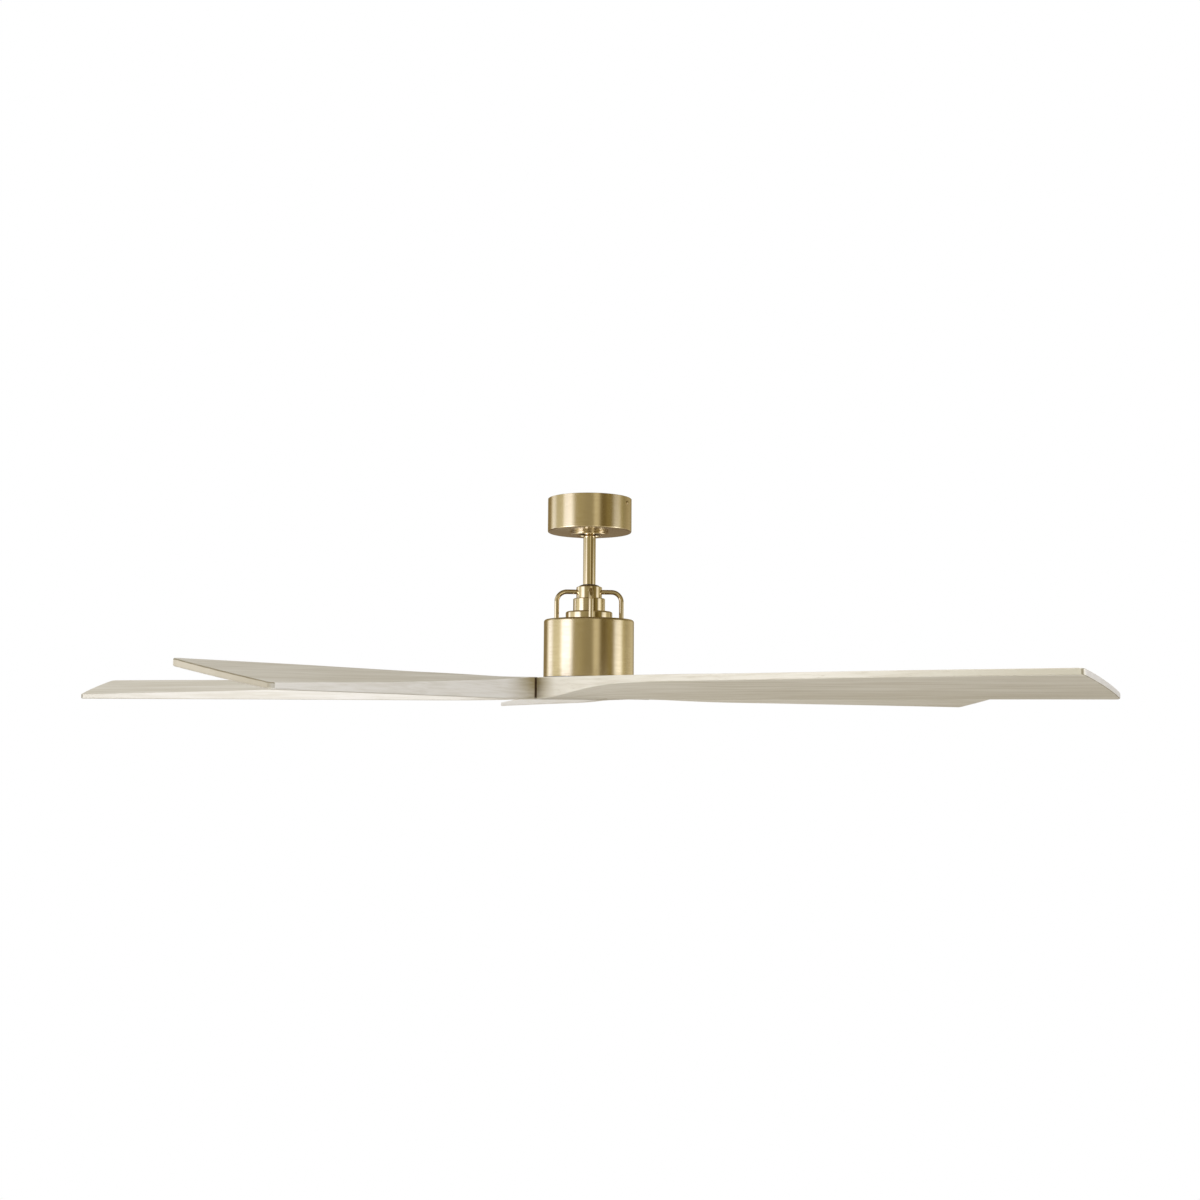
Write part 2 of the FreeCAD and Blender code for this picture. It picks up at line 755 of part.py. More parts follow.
def backing_plate():
    top = housing_top_z - housing_top_t
    bottom = top - backing_t
    plate = tube(backing_d, shaft_d + 2 * fit_gap, bottom, top)
    return cut_all(plate, foot_holes(foot_screw_d + 2 * fit_gap, bottom - cut_over, top + cut_over))


def circlip_levels():
    """The undersides of the rings under the lower bearing and over the upper one."""
    return [lower_bearing_z - circlip_t - fit_gap, upper_bearing_z + bearing_w + fit_gap]


def motor_shaft():
    body = tube(shaft_d, shaft_bore_d, rotor_bottom_z + shaft_end_gap, shaft_top_z)
    grooves = [tube(2 * shaft_d, circlip_neck_d, level, level + circlip_t) for level in circlip_levels()]
    return cut_all(body, grooves)


def shaft_circlips():
    rings = []
    for level in circlip_levels():
        ring = tube(circlip_d, circlip_neck_d + 2 * fit_gap, level, level + circlip_t)
        half = circlip_neck_d / 4
        mouth = block(0, circlip_d, -half, half, level - cut_over, level + circlip_t + cut_over)
        rings.append(ring.cut(mouth))
    return rings


def bearing_levels():
    return [lower_bearing_z, upper_bearing_z]


def bearing_groove(level):
    middle = vec(0, 0, level + bearing_w / 2)
    return Part.makeTorus(bearing_pitch_d / 2, bearing_ball_d / 2 + fit_gap, middle)


def bearing_inner_races():
    bore = shaft_d + 2 * fit_gap
    return [
        tube(bearing_inner_d, bore, level, level + bearing_w).cut(bearing_groove(level))
        for level in bearing_levels()
    ]


def bearing_outer_races():
    return [
        tube(bearing_d, bearing_outer_d, level, level + bearing_w).cut(bearing_groove(level))
        for level in bearing_levels()
    ]


def bearing_balls():
    balls = []
    for level in bearing_levels():
        ball = Part.makeSphere(bearing_ball_d / 2, vec(bearing_pitch_d / 2, 0, level + bearing_w / 2))
        balls += spread(ball, bearing_ball_count)
    return balls


def sector(diameter, low, high, angle):
    """A pie slice about the X axis."""
    pie = Part.makeCylinder(diameter / 2, high - low, vec(0, 0, low), up, angle)
    return turned(pie, -angle / 2)


def tooth_neck(gap, low, high):
    reach = stator_d / 2 - shoe_t / 2
    return block(0, reach, -tooth_w / 2 - gap, tooth_w / 2 + gap, low - gap, high + gap)


def stator_core():
    low = rotor_middle_z - stator_stack / 2
    high = rotor_middle_z + stator_stack / 2
    pitch = 360 / tooth_count
    shoe = sector(stator_d, low, high, pitch - shoe_gap_angle)
    shoe = shoe.cut(disc(stator_d - 2 * shoe_t, low - cut_over, high + cut_over))
    tooth = fuse_all([tooth_neck(0, low, high), shoe])
    core = fuse_all([disc(stator_hub_d, low, high)] + spread(tooth, tooth_count))
    return core.cut(disc(shaft_d + 2 * fit_gap, low - cut_over, high + cut_over))


def stator_windings():
    low = rotor_middle_z - stator_stack / 2
    high = rotor_middle_z + stator_stack / 2
    pitch = 360 / tooth_count
    inner = stator_hub_d / 2 + winding_inset
    outer = stator_d / 2 - shoe_t - winding_inset
    coil = block(inner, outer, -winding_w / 2, winding_w / 2, low - winding_over, high + winding_over)
    coil = coil.common(sector(stator_d, low - winding_over, high + winding_over, pitch - winding_gap_angle))
    coil = coil.cut(tooth_neck(hole_gap, low, high))
    return spread(coil, tooth_count)


# Rotor


def shell_screw_holes(diameter, low, high):
    hole = pin(diameter, vec(shell_screw_circle_d / 2, 0, low), up, high - low)
    return spread(hole, shell_screw_count)


def rotor_shell():
    """The lower half: its end plate lies at the bottom and its lip at the rotor's middle."""
    end = disc(shell_d, rotor_bottom_z, rotor_bottom_z + shell_end_t)
    lip_z = rotor_middle_z - shell_lip_t
    wall = tube(shell_d, shell_bore_d, rotor_bottom_z, rotor_middle_z)
    lip = tube(shell_lip_d, shell_bore_d, lip_z, rotor_middle_z)
    pocket = disc(pocket_d, rotor_bottom_z, lower_bearing_z + bearing_w)
    bore = disc(bearing_d + fit_gap, lower_bearing_z, rotor_middle_z)
    hole = disc(pocket_hole_d, rotor_bottom_z - cut_over, lower_bearing_z + cut_over)
    whole = fuse_all([end, wall, lip, pocket])
    screws = shell_screw_holes(shell_screw_d + 2 * fit_gap, lip_z - cut_over, rotor_middle_z + cut_over)
    return cut_all(whole, [bore, hole] + screws)


def rotor_lower_shell():
    start = vec(plate_screw_circle_d / 2, 0, rotor_bottom_z - cut_over)
    hole = pin(plate_screw_d + 2 * fit_gap, start, up, shell_end_t + 2 * cut_over)
    return cut_all(rotor_shell(), spread(hole, plate_screw_count))


def rotor_upper_shell():
    shell = rotor_shell()
    return shell.mirror(vec(0, 0, rotor_middle_z), up)


def shell_screws():
    head_z = rotor_middle_z + shell_lip_t
    shanks = shell_screw_holes(shell_screw_d, rotor_middle_z - shell_lip_t, head_z)
    heads = shell_screw_holes(shell_screw_head_d, head_z, head_z + shell_screw_head_h)
    return [fuse_all([shank, head]) for shank, head in zip(shanks, heads)]


def rotor_ring():
    half_h = stator_stack / 2 + flux_ring_over
    return tube(flux_ring_d, flux_ring_bore_d, rotor_middle_z - half_h, rotor_middle_z + half_h)


def rotor_magnets():
    low = rotor_middle_z - stator_stack / 2 - magnet_over
    high = rotor_middle_z + stator_stack / 2 + magnet_over
    magnet = sector(magnet_ring_d, low, high, 360 / magnet_count - magnet_gap_angle)
    magnet = magnet.cut(disc(magnet_ring_bore_d, low - cut_over, high + cut_over))
    return spread(magnet, magnet_count)


def countersunk(place_x, low, diameter, head_d, length):
    """A countersunk screw that points up, with its flat head at the low level."""
    head_h = (head_d - diameter) / 2
    head = Part.makeCone(head_d / 2, diameter / 2, head_h, vec(place_x, 0, low))
    shank = pin(diameter, vec(place_x, 0, low), up, length)
    return fuse_all([head, shank])


def hub_plate():
    low = blade_top_z + hub_plate_gap
    over = hub_plate_top_z + cut_over
    plate = disc(hub_plate_d, low, hub_plate_top_z)
    post = disc(post_d, hub_bottom_z + cap_t, hub_plate_top_z)
    screw = countersunk(plate_screw_circle_d / 2, low, plate_screw_d, plate_screw_head_d, plate_screw_len)
    cap_hole = pin(cap_screw_d + 2 * fit_gap, vec(0, 0, hub_bottom_z), up, cap_screw_len + cut_over)
    blade_holes = blade_screw_holes(blade_screw_d + 2 * fit_gap, low - cut_over, over)
    return cut_all(fuse_all([plate, post]), spread(screw, plate_screw_count) + [cap_hole] + blade_holes)


def hub_plate_screws():
    low = blade_top_z + hub_plate_gap + fit_gap
    head_d = plate_screw_head_d - 2 * fit_gap
    screw = countersunk(plate_screw_circle_d / 2, low, plate_screw_d, head_d, plate_screw_len)
    return spread(screw, plate_screw_count)


# Blades


def eased(shares, place):
    """The height share at a place along the blade, smooth and with no overshoot between stations."""
    spans = [after - before for before, after in zip(station_shares, station_shares[1:])]
    rises = [(after - before) / span for before, after, span in zip(shares, shares[1:], spans)]
    slopes = [rises[0]]
    for before, after in zip(rises, rises[1:]):
        slopes.append(2 * before * after / (before + after) if before * after > 0 else 0)
    slopes.append(rises[-1])
    if place <= 0:
        return shares[0]
    last = len(spans) - 1
    index = min(last, sum(1 for station in station_shares[1:] if station < place))
    span = spans[index]
    t = (place - station_shares[index]) / span
    rise = rises[index] * span
    lean_in = slopes[index] * span
    lean_out = slopes[index + 1] * span
    bend = (3 - 2 * t) * rise - (2 - t) * lean_in - (1 - t) * lean_out
    return shares[index] + t * lean_in + t * t * bend


def lead_offset(along):
    return -lead_root - (lead_tip - lead_root) * along / blade_reach


def trail_offset(along):
    return -trail_root - (trail_tip - trail_root) * along / blade_reach


def stations():
    """Places along the blade, from behind the axis to past the tip."""
    first = -lead_root
    last = blade_reach + blade_over
    step = (last - first) / rail_step_count
    return [first + step * index for index in range(rail_step_count + 1)]


def rail(across, height):
    """A smooth line along the blade, at an offset and a height that follow the place."""
    points = [vec(along, across(along), hub_bottom_z + height(along)) for along in stations()]
    curve = Part.BSplineCurve()
    curve.interpolate(points)
    return curve.toShape()


def height_of(shares):
    return lambda along: hub_h * eased(shares, along / blade_reach)


def past_edge(inner, outer):
    """The height where the line through both edges goes on past the leading edge."""
    def height(along):
        width = trail_offset(along) - trail_land - lead_offset(along)
        return outer(along) + (outer(along) - inner(along)) * blade_over / width
    return height


def blade_sheet():
    """A twisted slab with the blade's upper and lower faces, wider than the blade all round."""
    lead_top = height_of(lead_top_shares)
    lead_bottom = height_of(lead_bottom_shares)
    trail_top = height_of(trail_top_shares)
    trail_bottom = height_of(trail_bottom_shares)
    outside = lambda along: lead_offset(along) - blade_over
    land = lambda along: trail_offset(along) - trail_land
    inside = lambda along: blade_over
    rails = [
        rail(outside, past_edge(trail_bottom, lead_bottom)),
        rail(land, trail_bottom),
        rail(inside, trail_bottom),
        rail(inside, trail_top),
        rail(land, trail_top),
        rail(outside, past_edge(trail_top, lead_top)),
    ]
    faces = [Part.makeRuledSurface(first, second) for first, second in zip(rails, rails[1:] + rails[:1])]
    for end in (0, -1):
        corners = [line.Vertexes[end].Point for line in rails]
        faces.append(Part.Face(Part.makePolygon(corners + corners[:1])))
    shell = Part.makeShell(faces)
    shell.sewShape()
    slab = Part.makeSolid(shell)
    if slab.Volume < 0:
        slab.reverse()
    return slab


def seam_corner():
    """Where a blade's trailing edge meets the next blade's leading edge, in the blade's own frame."""
    step = math.radians(360 / blade_count)
    lead_slope = (lead_tip - lead_root) / blade_reach
    trail_slope = (trail_tip - trail_root) / blade_reach
    back_x = lead_root * math.sin(step)
    back_y = -lead_root * math.cos(step)
    run_x = math.cos(step) + lead_slope * math.sin(step)
    run_y = math.sin(step) - lead_slope * math.cos(step)
    run = -(back_y + trail_root + trail_slope * back_x) / (run_y + trail_slope * run_x)
    return vec(back_x + run * run_x, back_y + run * run_y, 0)


def tip_edge():
    """Points of the rounded tip, from the leading side to the trailing side, as a wire."""
    lead_corner = vec(blade_reach, lead_offset(blade_reach), 0)
    trail_corner = vec(blade_reach, trail_offset(blade_reach), 0)
    lead_run = (vec(0, lead_offset(0), 0) - lead_corner).normalize()
    trail_run = (vec(0, trail_offset(0), 0) - trail_corner).normalize()
    lead_start = lead_corner + lead_run * tip_corner_r
    trail_end = trail_corner + trail_run * tip_corner_r
    across = (trail_corner - lead_corner).normalize()
    lead_end = lead_corner + across * tip_corner_r
    trail_start = trail_corner - across * tip_corner_r
    bulge = vec(tip_bulge, 0, 0)
    lean = math.sqrt(2) - 1
    lead_mid = (lead_start + lead_end) / 2 * (1 - lean) + lead_corner * lean
    trail_mid = (trail_start + trail_end) / 2 * (1 - lean) + trail_corner * lean
    middle = (lead_end + trail_start) / 2 + bulge
    arcs = [
        Part.Arc(lead_start, lead_mid, lead_end),
        Part.Arc(lead_end, middle, trail_start),
        Part.Arc(trail_start, trail_mid, trail_end),
    ]
    return lead_start, trail_end, [arc.toShape() for arc in arcs]


def blade_outline():
    """The blade seen from above, with its wedge of the hub, as an upright prism."""
    inner = seam_corner()
    outer = turned(Part.Vertex(inner), -360 / blade_count).Point
    lead_start, trail_end, arcs = tip_edge()
    edges = [Part.makeLine(axis_foot, outer), Part.makeLine(outer, lead_start)] + arcs
    edges += [Part.makeLine(trail_end, inner), Part.makeLine(inner, axis_foot)]
    face = Part.Face(Part.Wire(edges))
    face.translate(vec(0, 0, hub_bottom_z - hub_h))
    return face.extrude(vec(0, 0, 3 * hub_h))


def seam_cut():
    """A thin upright slab along the blade's own seam, which leaves a fine gap between blades."""
    corner = seam_corner()
    angle = math.degrees(math.atan2(corner.y, corner.x))
    half = seam_gap / 2
    slab = block(0, corner.Length + seam_gap, -half, half, hub_bottom_z - hub_h, blade_top_z + hub_h)
    return [turned(slab, angle), turned(slab, angle - 360 / blade_count)]


def blade_screw_holes(diameter, low, high):
    """Two screws for each blade, either side of its wedge's middle."""
    corner = seam_corner()
    middle = math.degrees(math.atan2(corner.y, corner.x)) - 180 / blade_count
    hole = pin(diameter, vec(blade_screw_circle_d / 2, 0, low), up, high - low)
    pair = [turned(hole, middle - blade_screw_spread_angle), turned(hole, middle + blade_screw_spread_angle)]
    return [copy for tool in pair for copy in spread(tool, blade_count, blade_turn_angle)]


def outline_edge(edge):
    """Picks the edges between the blade's sides and its two faces, away from the seams."""
    box = edge.BoundBox
    middle = edge.valueAt((edge.FirstParameter + edge.LastParameter) / 2)
    outside = math.hypot(middle.x, middle.y) > seam_corner().Length
    on_land_line = abs(middle.y - trail_offset(middle.x) + trail_land) < trail_land / 2
    upright = box.XLength < fit_gap and box.YLength < fit_gap
    return outside and not on_land_line and not upright


def plain_blade():
    """One blade along the X axis."""
    body = blade_outline().common(blade_sheet()).Solids[0]
    body = rounded(body, blade_edge_r, outline_edge)
    body = cut_all(body, seam_cut())
    pocket = disc(cap_d + 2 * swing_gap, hub_bottom_z - hub_h, pocket_roof_z)
    centre = disc(root_hole_d, hub_bottom_z - hub_h, blade_top_z + hub_h)
    return cut_all(body, [pocket, centre])


def blades():
    holes = blade_screw_holes(blade_screw_d + 2 * hole_gap, hub_bottom_z, blade_top_z + cut_over)
    plain = plain_blade()
    step = -360 / blade_count
    return [cut_all(turned(plain, blade_turn_angle + step * index), holes) for index in range(blade_count)]


def blade_screws():
    top = hub_plate_top_z - blade_screw_short
    head_z = pocket_roof_z - blade_screw_head_h
    shanks = blade_screw_holes(blade_screw_d, head_z, top)
    heads = blade_screw_holes(blade_screw_head_d, head_z, pocket_roof_z)
    sockets = blade_screw_holes(blade_screw_socket_d, head_z - cut_over, head_z + blade_screw_socket_h)
    return [fuse_all([shank, head]).cut(socket) for shank, head, socket in zip(shanks, heads, sockets)]


def hub_cap():
    cap = disc(cap_d, hub_bottom_z, hub_bottom_z + cap_t)
    cap = bevelled(cap, cap_bevel, lambda edge: flat_at(edge, hub_bottom_z))
    hole = countersunk(0, hub_bottom_z, cap_screw_d + 2 * fit_gap, cap_screw_head_d, cap_t + cut_over)
    return cap.cut(hole)


def cap_screw():
    body = countersunk(0, hub_bottom_z + fit_gap, cap_screw_d, cap_screw_head_d - 2 * fit_gap, cap_screw_len)
    arm = cap_screw_slot_len / 2
    half = cap_screw_slot_w / 2
    slot = block(-arm, arm, -half, half, hub_bottom_z - cut_over, hub_bottom_z + cap_screw_slot_depth)
    return cut_all(body, [slot, turned(slot, 90)])


def main():
    pieces = {
        "canopy": canopy(),
        "canopy_ring": canopy_ring(),
        "canopy_screws": canopy_screws(),
        "hanger_bracket": hanger_bracket(),
        "receiver_module": receiver_module(),
        "terminal_block": terminal_block(),
        "terminal_screws": terminal_screws(),
        "ball_seat": ball_seat(),
        "hanger_ball": hanger_ball(),
        "ball_cross_pin": ball_cross_pin(),
        "ball_set_screw": ball_set_screw(),
        "downrod": downrod(),
        "rod_gasket": rod_gasket(),
        "collar_top": collar_top(),
        "collar_middle": collar_middle(),
        "collar_flange": collar_flange(),
        "yoke": yoke(),
        "yoke_clevis_pin": yoke_clevis_pin(),
        "pin_clip": pin_clip(),
        "yoke_set_screws": yoke_set_screws(),
        "yoke_foot_screws": yoke_foot_screws(),
        "guard_nuts": guard_nuts(),
        "motor_housing": motor_housing(),
        "backing_plate": backing_plate(),
        "motor_shaft": motor_shaft(),
        "shaft_circlips": shaft_circlips(),
        "bearing_inner_races": bearing_inner_races(),
        "bearing_outer_races": bearing_outer_races(),
        "bearing_balls": bearing_balls(),
        "stator_core": stator_core(),
        "stator_windings": stator_windings(),
        "rotor_lower_shell": rotor_lower_shell(),
        "rotor_upper_shell": rotor_upper_shell(),
        "shell_screws": shell_screws(),
        "rotor_ring": rotor_ring(),
        "rotor_magnets": rotor_magnets(),
        "hub_plate": hub_plate(),
        "hub_plate_screws": hub_plate_screws(),
        "blade_screws": blade_screws(),
        "hub_cap": hub_cap(),
        "cap_screw": cap_screw(),
    }
    rods = spread(guard_rod(), guard_count, guard_turn_angle)
    for name, rod in zip(("right", "back", "left", "front"), rods):
        pieces["guard_rod_" + name] = rod
    for number, blade in enumerate(blades(), 1):
        pieces["blade_" + str(number)] = blade
    os.makedirs("parts", exist_ok=True)
    for name, shape in pieces.items():
        if isinstance(shape, list):
            shape = Part.makeCompound(shape)
        shape.exportStep("parts/" + name + ".step")
        print(name, len(shape.Solids), "solids", round(shape.Volume), "mm3", "valid", shape.isValid())


main()
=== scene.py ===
import math

import bmesh
import bpy
from bpy.props import FloatProperty, FloatVectorProperty, IntProperty, PointerProperty
from mathutils import Matrix, Vector


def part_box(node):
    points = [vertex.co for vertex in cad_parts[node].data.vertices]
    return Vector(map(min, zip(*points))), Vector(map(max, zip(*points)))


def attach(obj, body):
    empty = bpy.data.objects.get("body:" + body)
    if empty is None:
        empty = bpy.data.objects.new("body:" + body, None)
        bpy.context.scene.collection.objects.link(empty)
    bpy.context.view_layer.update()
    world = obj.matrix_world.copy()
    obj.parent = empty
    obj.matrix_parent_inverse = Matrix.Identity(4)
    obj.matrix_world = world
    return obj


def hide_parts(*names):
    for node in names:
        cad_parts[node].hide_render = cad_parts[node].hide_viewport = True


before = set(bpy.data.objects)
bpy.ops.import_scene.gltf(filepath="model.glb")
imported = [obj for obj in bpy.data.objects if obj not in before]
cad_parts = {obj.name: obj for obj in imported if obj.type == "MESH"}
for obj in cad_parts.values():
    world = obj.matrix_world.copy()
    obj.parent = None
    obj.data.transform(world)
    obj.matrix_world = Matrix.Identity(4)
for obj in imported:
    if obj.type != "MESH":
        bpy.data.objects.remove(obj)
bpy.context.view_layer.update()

# Ceiling fan with five pale wooden blades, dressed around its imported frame.
# Lengths are in metres. The ceiling is the plane z = 0 and the fan hangs down its Z axis.

bl_info = {
    "name": "Ceiling Fan Dressing",
    "version": (1, 0, 0),
    "blender": (4, 5, 0),
    "location": "3D View > Sidebar > Ceiling Fan",
    "description": "Turns the brass parts, finishes the wooden blades and sets the studio",
    "category": "Object",
}

mm = 0.001

# What the lamps face
fan_middle = Vector((0, 0, -200 * mm))

# The blades: how many, the turn from one to the next, and where the first one points
blade_count = 5
blade_step = 2 * math.pi / blade_count
blade_heading = math.radians(-39.4)

# The seams of the wooden hub: where the one between the first blade and the last lies, how far out it ends,
# between which distances from the axis the darkening beside it sets in, and between which levels that
# darkening deepens upwards. It is partly stained wood and partly painted shade in the hub's inner corners
seam_heading = blade_heading + math.radians(-33.58)
seam_reach = 103.8 * mm
stain_and_shade_reaches = (70 * mm, 95 * mm)
stain_and_shade_levels = (-339 * mm, -308 * mm)


def length(name, about, default):
    """A length that a user may change, in metres."""
    return FloatProperty(name=name, description=about, default=default, min=0, unit="LENGTH", precision=5)


def angle(name, about, degrees):
    return FloatProperty(name=name, description=about, default=math.radians(degrees), unit="ROTATION")


def colour(name, about, default):
    limits = {"size": 3, "min": 0, "max": 1}
    return FloatVectorProperty(name=name, description=about, default=default, subtype="COLOR", **limits)


def share(name, about, default, most=1.0):
    return FloatProperty(name=name, description=about, default=default, min=0, max=most, subtype="FACTOR")


class FanSizes(bpy.types.PropertyGroup):
    """Walls, bores, roundings and bends of the brass and the gasket. Outer sizes come from the frame."""

    edge: length("Edge break", "Rounding of every turned edge that has no rounding of its own", 0.3 * mm)
    segments: IntProperty(name="Segments", description="Faces round each turned piece", default=192, min=24)
    arc_steps: IntProperty(name="Arc steps", description="Faces across each rounding", default=6, min=2)
    canopy_wall: length("Canopy wall", "Thickness of the canopy's sheet", 1.2 * mm)
    canopy_round: length("Canopy rounding", "Rounding of the canopy's lower edge", 2.4 * mm)
    canopy_mouth: length("Canopy mouth", "Diameter of the hole in the canopy's bottom", 48.1 * mm)
    ring_bore: length("Ring bore", "Bore of the trim ring", 41 * mm)
    ring_neck: length("Ring neck", "Diameter of the trim ring's upper bead", 66.6 * mm)
    ring_neck_height: length("Ring neck height", "Height of the trim ring's upper bead", 2.4 * mm)
    ring_groove: length("Ring groove", "Width of the groove between the trim ring's beads", 1.6 * mm)
    ring_groove_depth: length("Ring groove depth", "Depth of that groove, from the lower bead", 4.5 * mm)
    ring_round: length("Bead rounding", "Rounding of both beads", 1.2 * mm)
    ring_mouth_round: length("Ring mouth rounding", "Rounding of the lower bead into its bore", 2.6 * mm)
    ring_spigot: length("Ring spigot", "Diameter of the ring's spigot in the canopy's mouth", 48 * mm)
    ring_lip: length("Ring lip", "Height of the lip that holds the ring in the canopy", 1.6 * mm)
    rod_bore: length("Downrod bore", "Bore of the downrod", 15.8 * mm)
    rod_gap: length("Downrod gap", "Gap between the downrod and what it passes through", 0.2 * mm)
    gasket_rim: length("Gasket rim", "Height of the gasket's outer rim", 0.6 * mm)
    top_bore: length("Upper collar bore", "Bore of the upper collar", 36 * mm)
    top_lid: length("Upper collar lid", "Thickness of the upper collar's lid", 4.2 * mm)
    bevel_width: length("Collar bevel width", "Width of the cone on the upper collar", 5.3 * mm)
    bevel_height: length("Collar bevel height", "Height of the cone on the upper collar", 2.3 * mm)
    middle_bore: length("Middle collar bore", "Bore of the middle collar", 42 * mm)
    middle_bevel: length("Middle collar bevel", "Bevel of the middle collar's upper edge", 1.2 * mm)
    flange_wall: length("Flange wall", "Wall of the collar's flange", 5 * mm)
    flange_lid: length("Flange lid", "Thickness of the flange's lid", 3 * mm)
    flange_round: length("Flange rounding", "Rounding of the flange's upper edge", 3 * mm)
    housing_wall: length("Housing wall", "Wall of the motor housing", 1.5 * mm)
    housing_top: length("Housing top", "Thickness of the motor housing's top", 2 * mm)
    housing_round: length("Housing rounding", "Rounding of the motor housing's upper edge", 4.2 * mm)
    housing_bore: length("Housing bore", "Hole in the motor housing's top", 24 * mm)
    guard_thick: length("Guard thickness", "Diameter of each guard rod", 8 * mm)
    guard_circle: length("Guard circle", "Diameter of the circle on which the guard rods stand", 110.4 * mm)
    guard_bend: length("Guard bend", "Bend radius of each guard rod's middle line", 17 * mm)
    guard_inset: length("Guard inset", "How far each guard rod enters the upper collar", 3.4 * mm)
    guard_turn: angle("Guard turn", "Turn of the guard rods about the fan's axis", 3.5)


class FanFinish(bpy.types.PropertyGroup):
    """Colours and surfaces."""

    brass: colour("Brass", "Satin brass", (0.70, 0.58, 0.375))
    brass_dark: colour("Brass valleys", "Brass in the valleys of its turning marks", (0.64, 0.515, 0.315))
    brass_roughness: share("Brass roughness", "Roughness of the satin brass", 0.24)
    buffed_roughness: share("Buffed roughness", "Roughness of the brass rods, ring and collar", 0.09)
    brass_stretch: share("Brass stretch", "How far turning marks stretch its highlights", 0.6)
    lacquer_roughness: share("Lacquer roughness", "Roughness of the clear lacquer over the brass", 0.16)
    ring_pitch: length("Turning pitch", "Spacing of the finest turning marks", 0.35 * mm)
    wood: colour("Wood", "Washed wood between its streaks", (0.835, 0.795, 0.705))
    wood_streak: colour("Wood streaks", "Broad streaks along the blades", (0.66, 0.61, 0.50))
    wood_pore: colour("Wood pores", "Fine pores along the blades", (0.52, 0.455, 0.35))
    # Painted light: a paler colour on each blade's trailing side
    lit_side_wood: colour("Wood sides", "Paler wash on each blade's trailing side", (0.95, 0.92, 0.88))
    end_grain: colour("End grain", "Wood cut across its grain, at the tips", (0.74, 0.715, 0.695))
    end_bare: colour("Bare end grain", "Wood cut across its grain that took little wash", (0.60, 0.545, 0.44))
    front_wear: colour("Front wear", "Worn wash on each blade's front, towards its tip", (0.575, 0.535, 0.42))
    # Partly stained wood, partly painted shade in the inner corners at the hub's seams
    seam_stain_and_shade: colour("Seam stain", "Wood that darkens towards the seams of the hub", (0.37, 0.305, 0.17))
    # Painted shadow in the crease of each seam, drawn on the blade's back
    seam_shadow: colour("Seam line", "The bare edge of the wood at each seam", (0.045, 0.022, 0.008))
    edge_line: colour("Edge line", "Wood along sharp edges, where the wash has worn off", (0.24, 0.205, 0.13))
    # How far the seams' stained wood and painted shade spread, and how wide the painted shadow line beside
    # each seam is
    stain_and_shade_reach: length("Stain reach", "How far stain spreads over a blade's front from a seam", 44 * mm)
    stain_and_shade_spread: length("Stain spread", "How far stain spreads over a blade's back from a seam", 160 * mm)
    seam_shadow_width: length("Seam width", "How far the bare edge shows over a blade's back at a seam", 12.5 * mm)
    wood_roughness: share("Wood roughness", "Roughness of the washed wood", 0.52)
    wood_gloss: share("Wood gloss", "How strongly the washed wood mirrors", 0.15)
    grain_width: length("Grain width", "Width of the finest grain lines", 1.1 * mm)
    grain_length: length("Grain length", "Length of the finest grain lines", 70 * mm)
    steel: colour("Zinc steel", "Zinc plated steel", (0.62, 0.63, 0.65))
    aluminium: colour("Cast aluminium", "Cast aluminium of the rotor's shells", (0.60, 0.60, 0.61))
    core: colour("Core steel", "Laminated steel of the stator", (0.30, 0.30, 0.31))
    copper: colour("Copper wire", "Enamelled copper of the windings", (0.62, 0.27, 0.12))
    magnet: colour("Magnet", "Ground ceramic of the magnets", (0.07, 0.07, 0.075))
    nylon: colour("Black nylon", "Moulded black nylon", (0.022, 0.022, 0.024))
    rubber: colour("Black rubber", "Matt dark rubber", (0.055, 0.036, 0.018))
    plastic: colour("Pale plastic", "Moulded pale plastic", (0.76, 0.76, 0.72))
    screw_paint: colour("Screw paint", "Paint of the screw in the hub's cap", (0.66, 0.60, 0.49))


class FanStudio(bpy.types.PropertyGroup):
    """Camera, light and floor."""

    lens: FloatProperty(name="Lens", description="Focal length", default=39.9, min=1, unit="CAMERA")
    sensor: FloatProperty(name="Sensor", description="Width of the sensor", default=36, min=1, unit="CAMERA")
    distance: length("Camera distance", "From the fan's axis to the camera", 2.2597)
    drop: length("Camera drop", "From the ceiling down to the camera", 0.3756)
    yaw: angle("Camera yaw", "Turn of the camera to the right", 0.47)
    pitch: angle("Camera pitch", "Turn of the camera upwards", 5.122)
    roll: angle("Camera roll", "Turn of the camera about its line of sight", 0.401)
    plain_light: share("Plain light", "Level of the light from all around", 0.70, most=5)
    floor_drop: length("Floor drop", "From the ceiling down to the floor", 3.6)
    floor_size: length("Floor size", "Side of the square floor", 60)
    floor_tint: colour("Floor", "Colour of the floor", (0.66, 0.635, 0.58))
    lamp_distance: length("Lamp distance", "From the fan to each lamp", 3.0)


# Shader building


class Field:
    """A socket that takes part in sums as a number does."""

    def __init__(self, shade, socket):
        self.shade = shade
        self.socket = socket

    def __add__(self, other):
        return self.shade.maths("ADD", self, other)

    def __radd__(self, other):
        return self.shade.maths("ADD", other, self)

    def __sub__(self, other):
        return self.shade.maths("SUBTRACT", self, other)

    def __rsub__(self, other):
        return self.shade.maths("SUBTRACT", other, self)

    def __mul__(self, other):
        return self.shade.maths("MULTIPLY", self, other)

    def __rmul__(self, other):
        return self.shade.maths("MULTIPLY", other, self)

    def __truediv__(self, other):
        return self.shade.maths("DIVIDE", self, other)

    def __rtruediv__(self, other):
        return self.shade.maths("DIVIDE", other, self)

    def __pow__(self, other):
        return self.shade.maths("POWER", self, other)

    def __rpow__(self, other):
        return self.shade.maths("POWER", other, self)

    def __neg__(self):
        return 0.0 - self

    def __abs__(self):
        return self.shade.maths("ABSOLUTE", self)


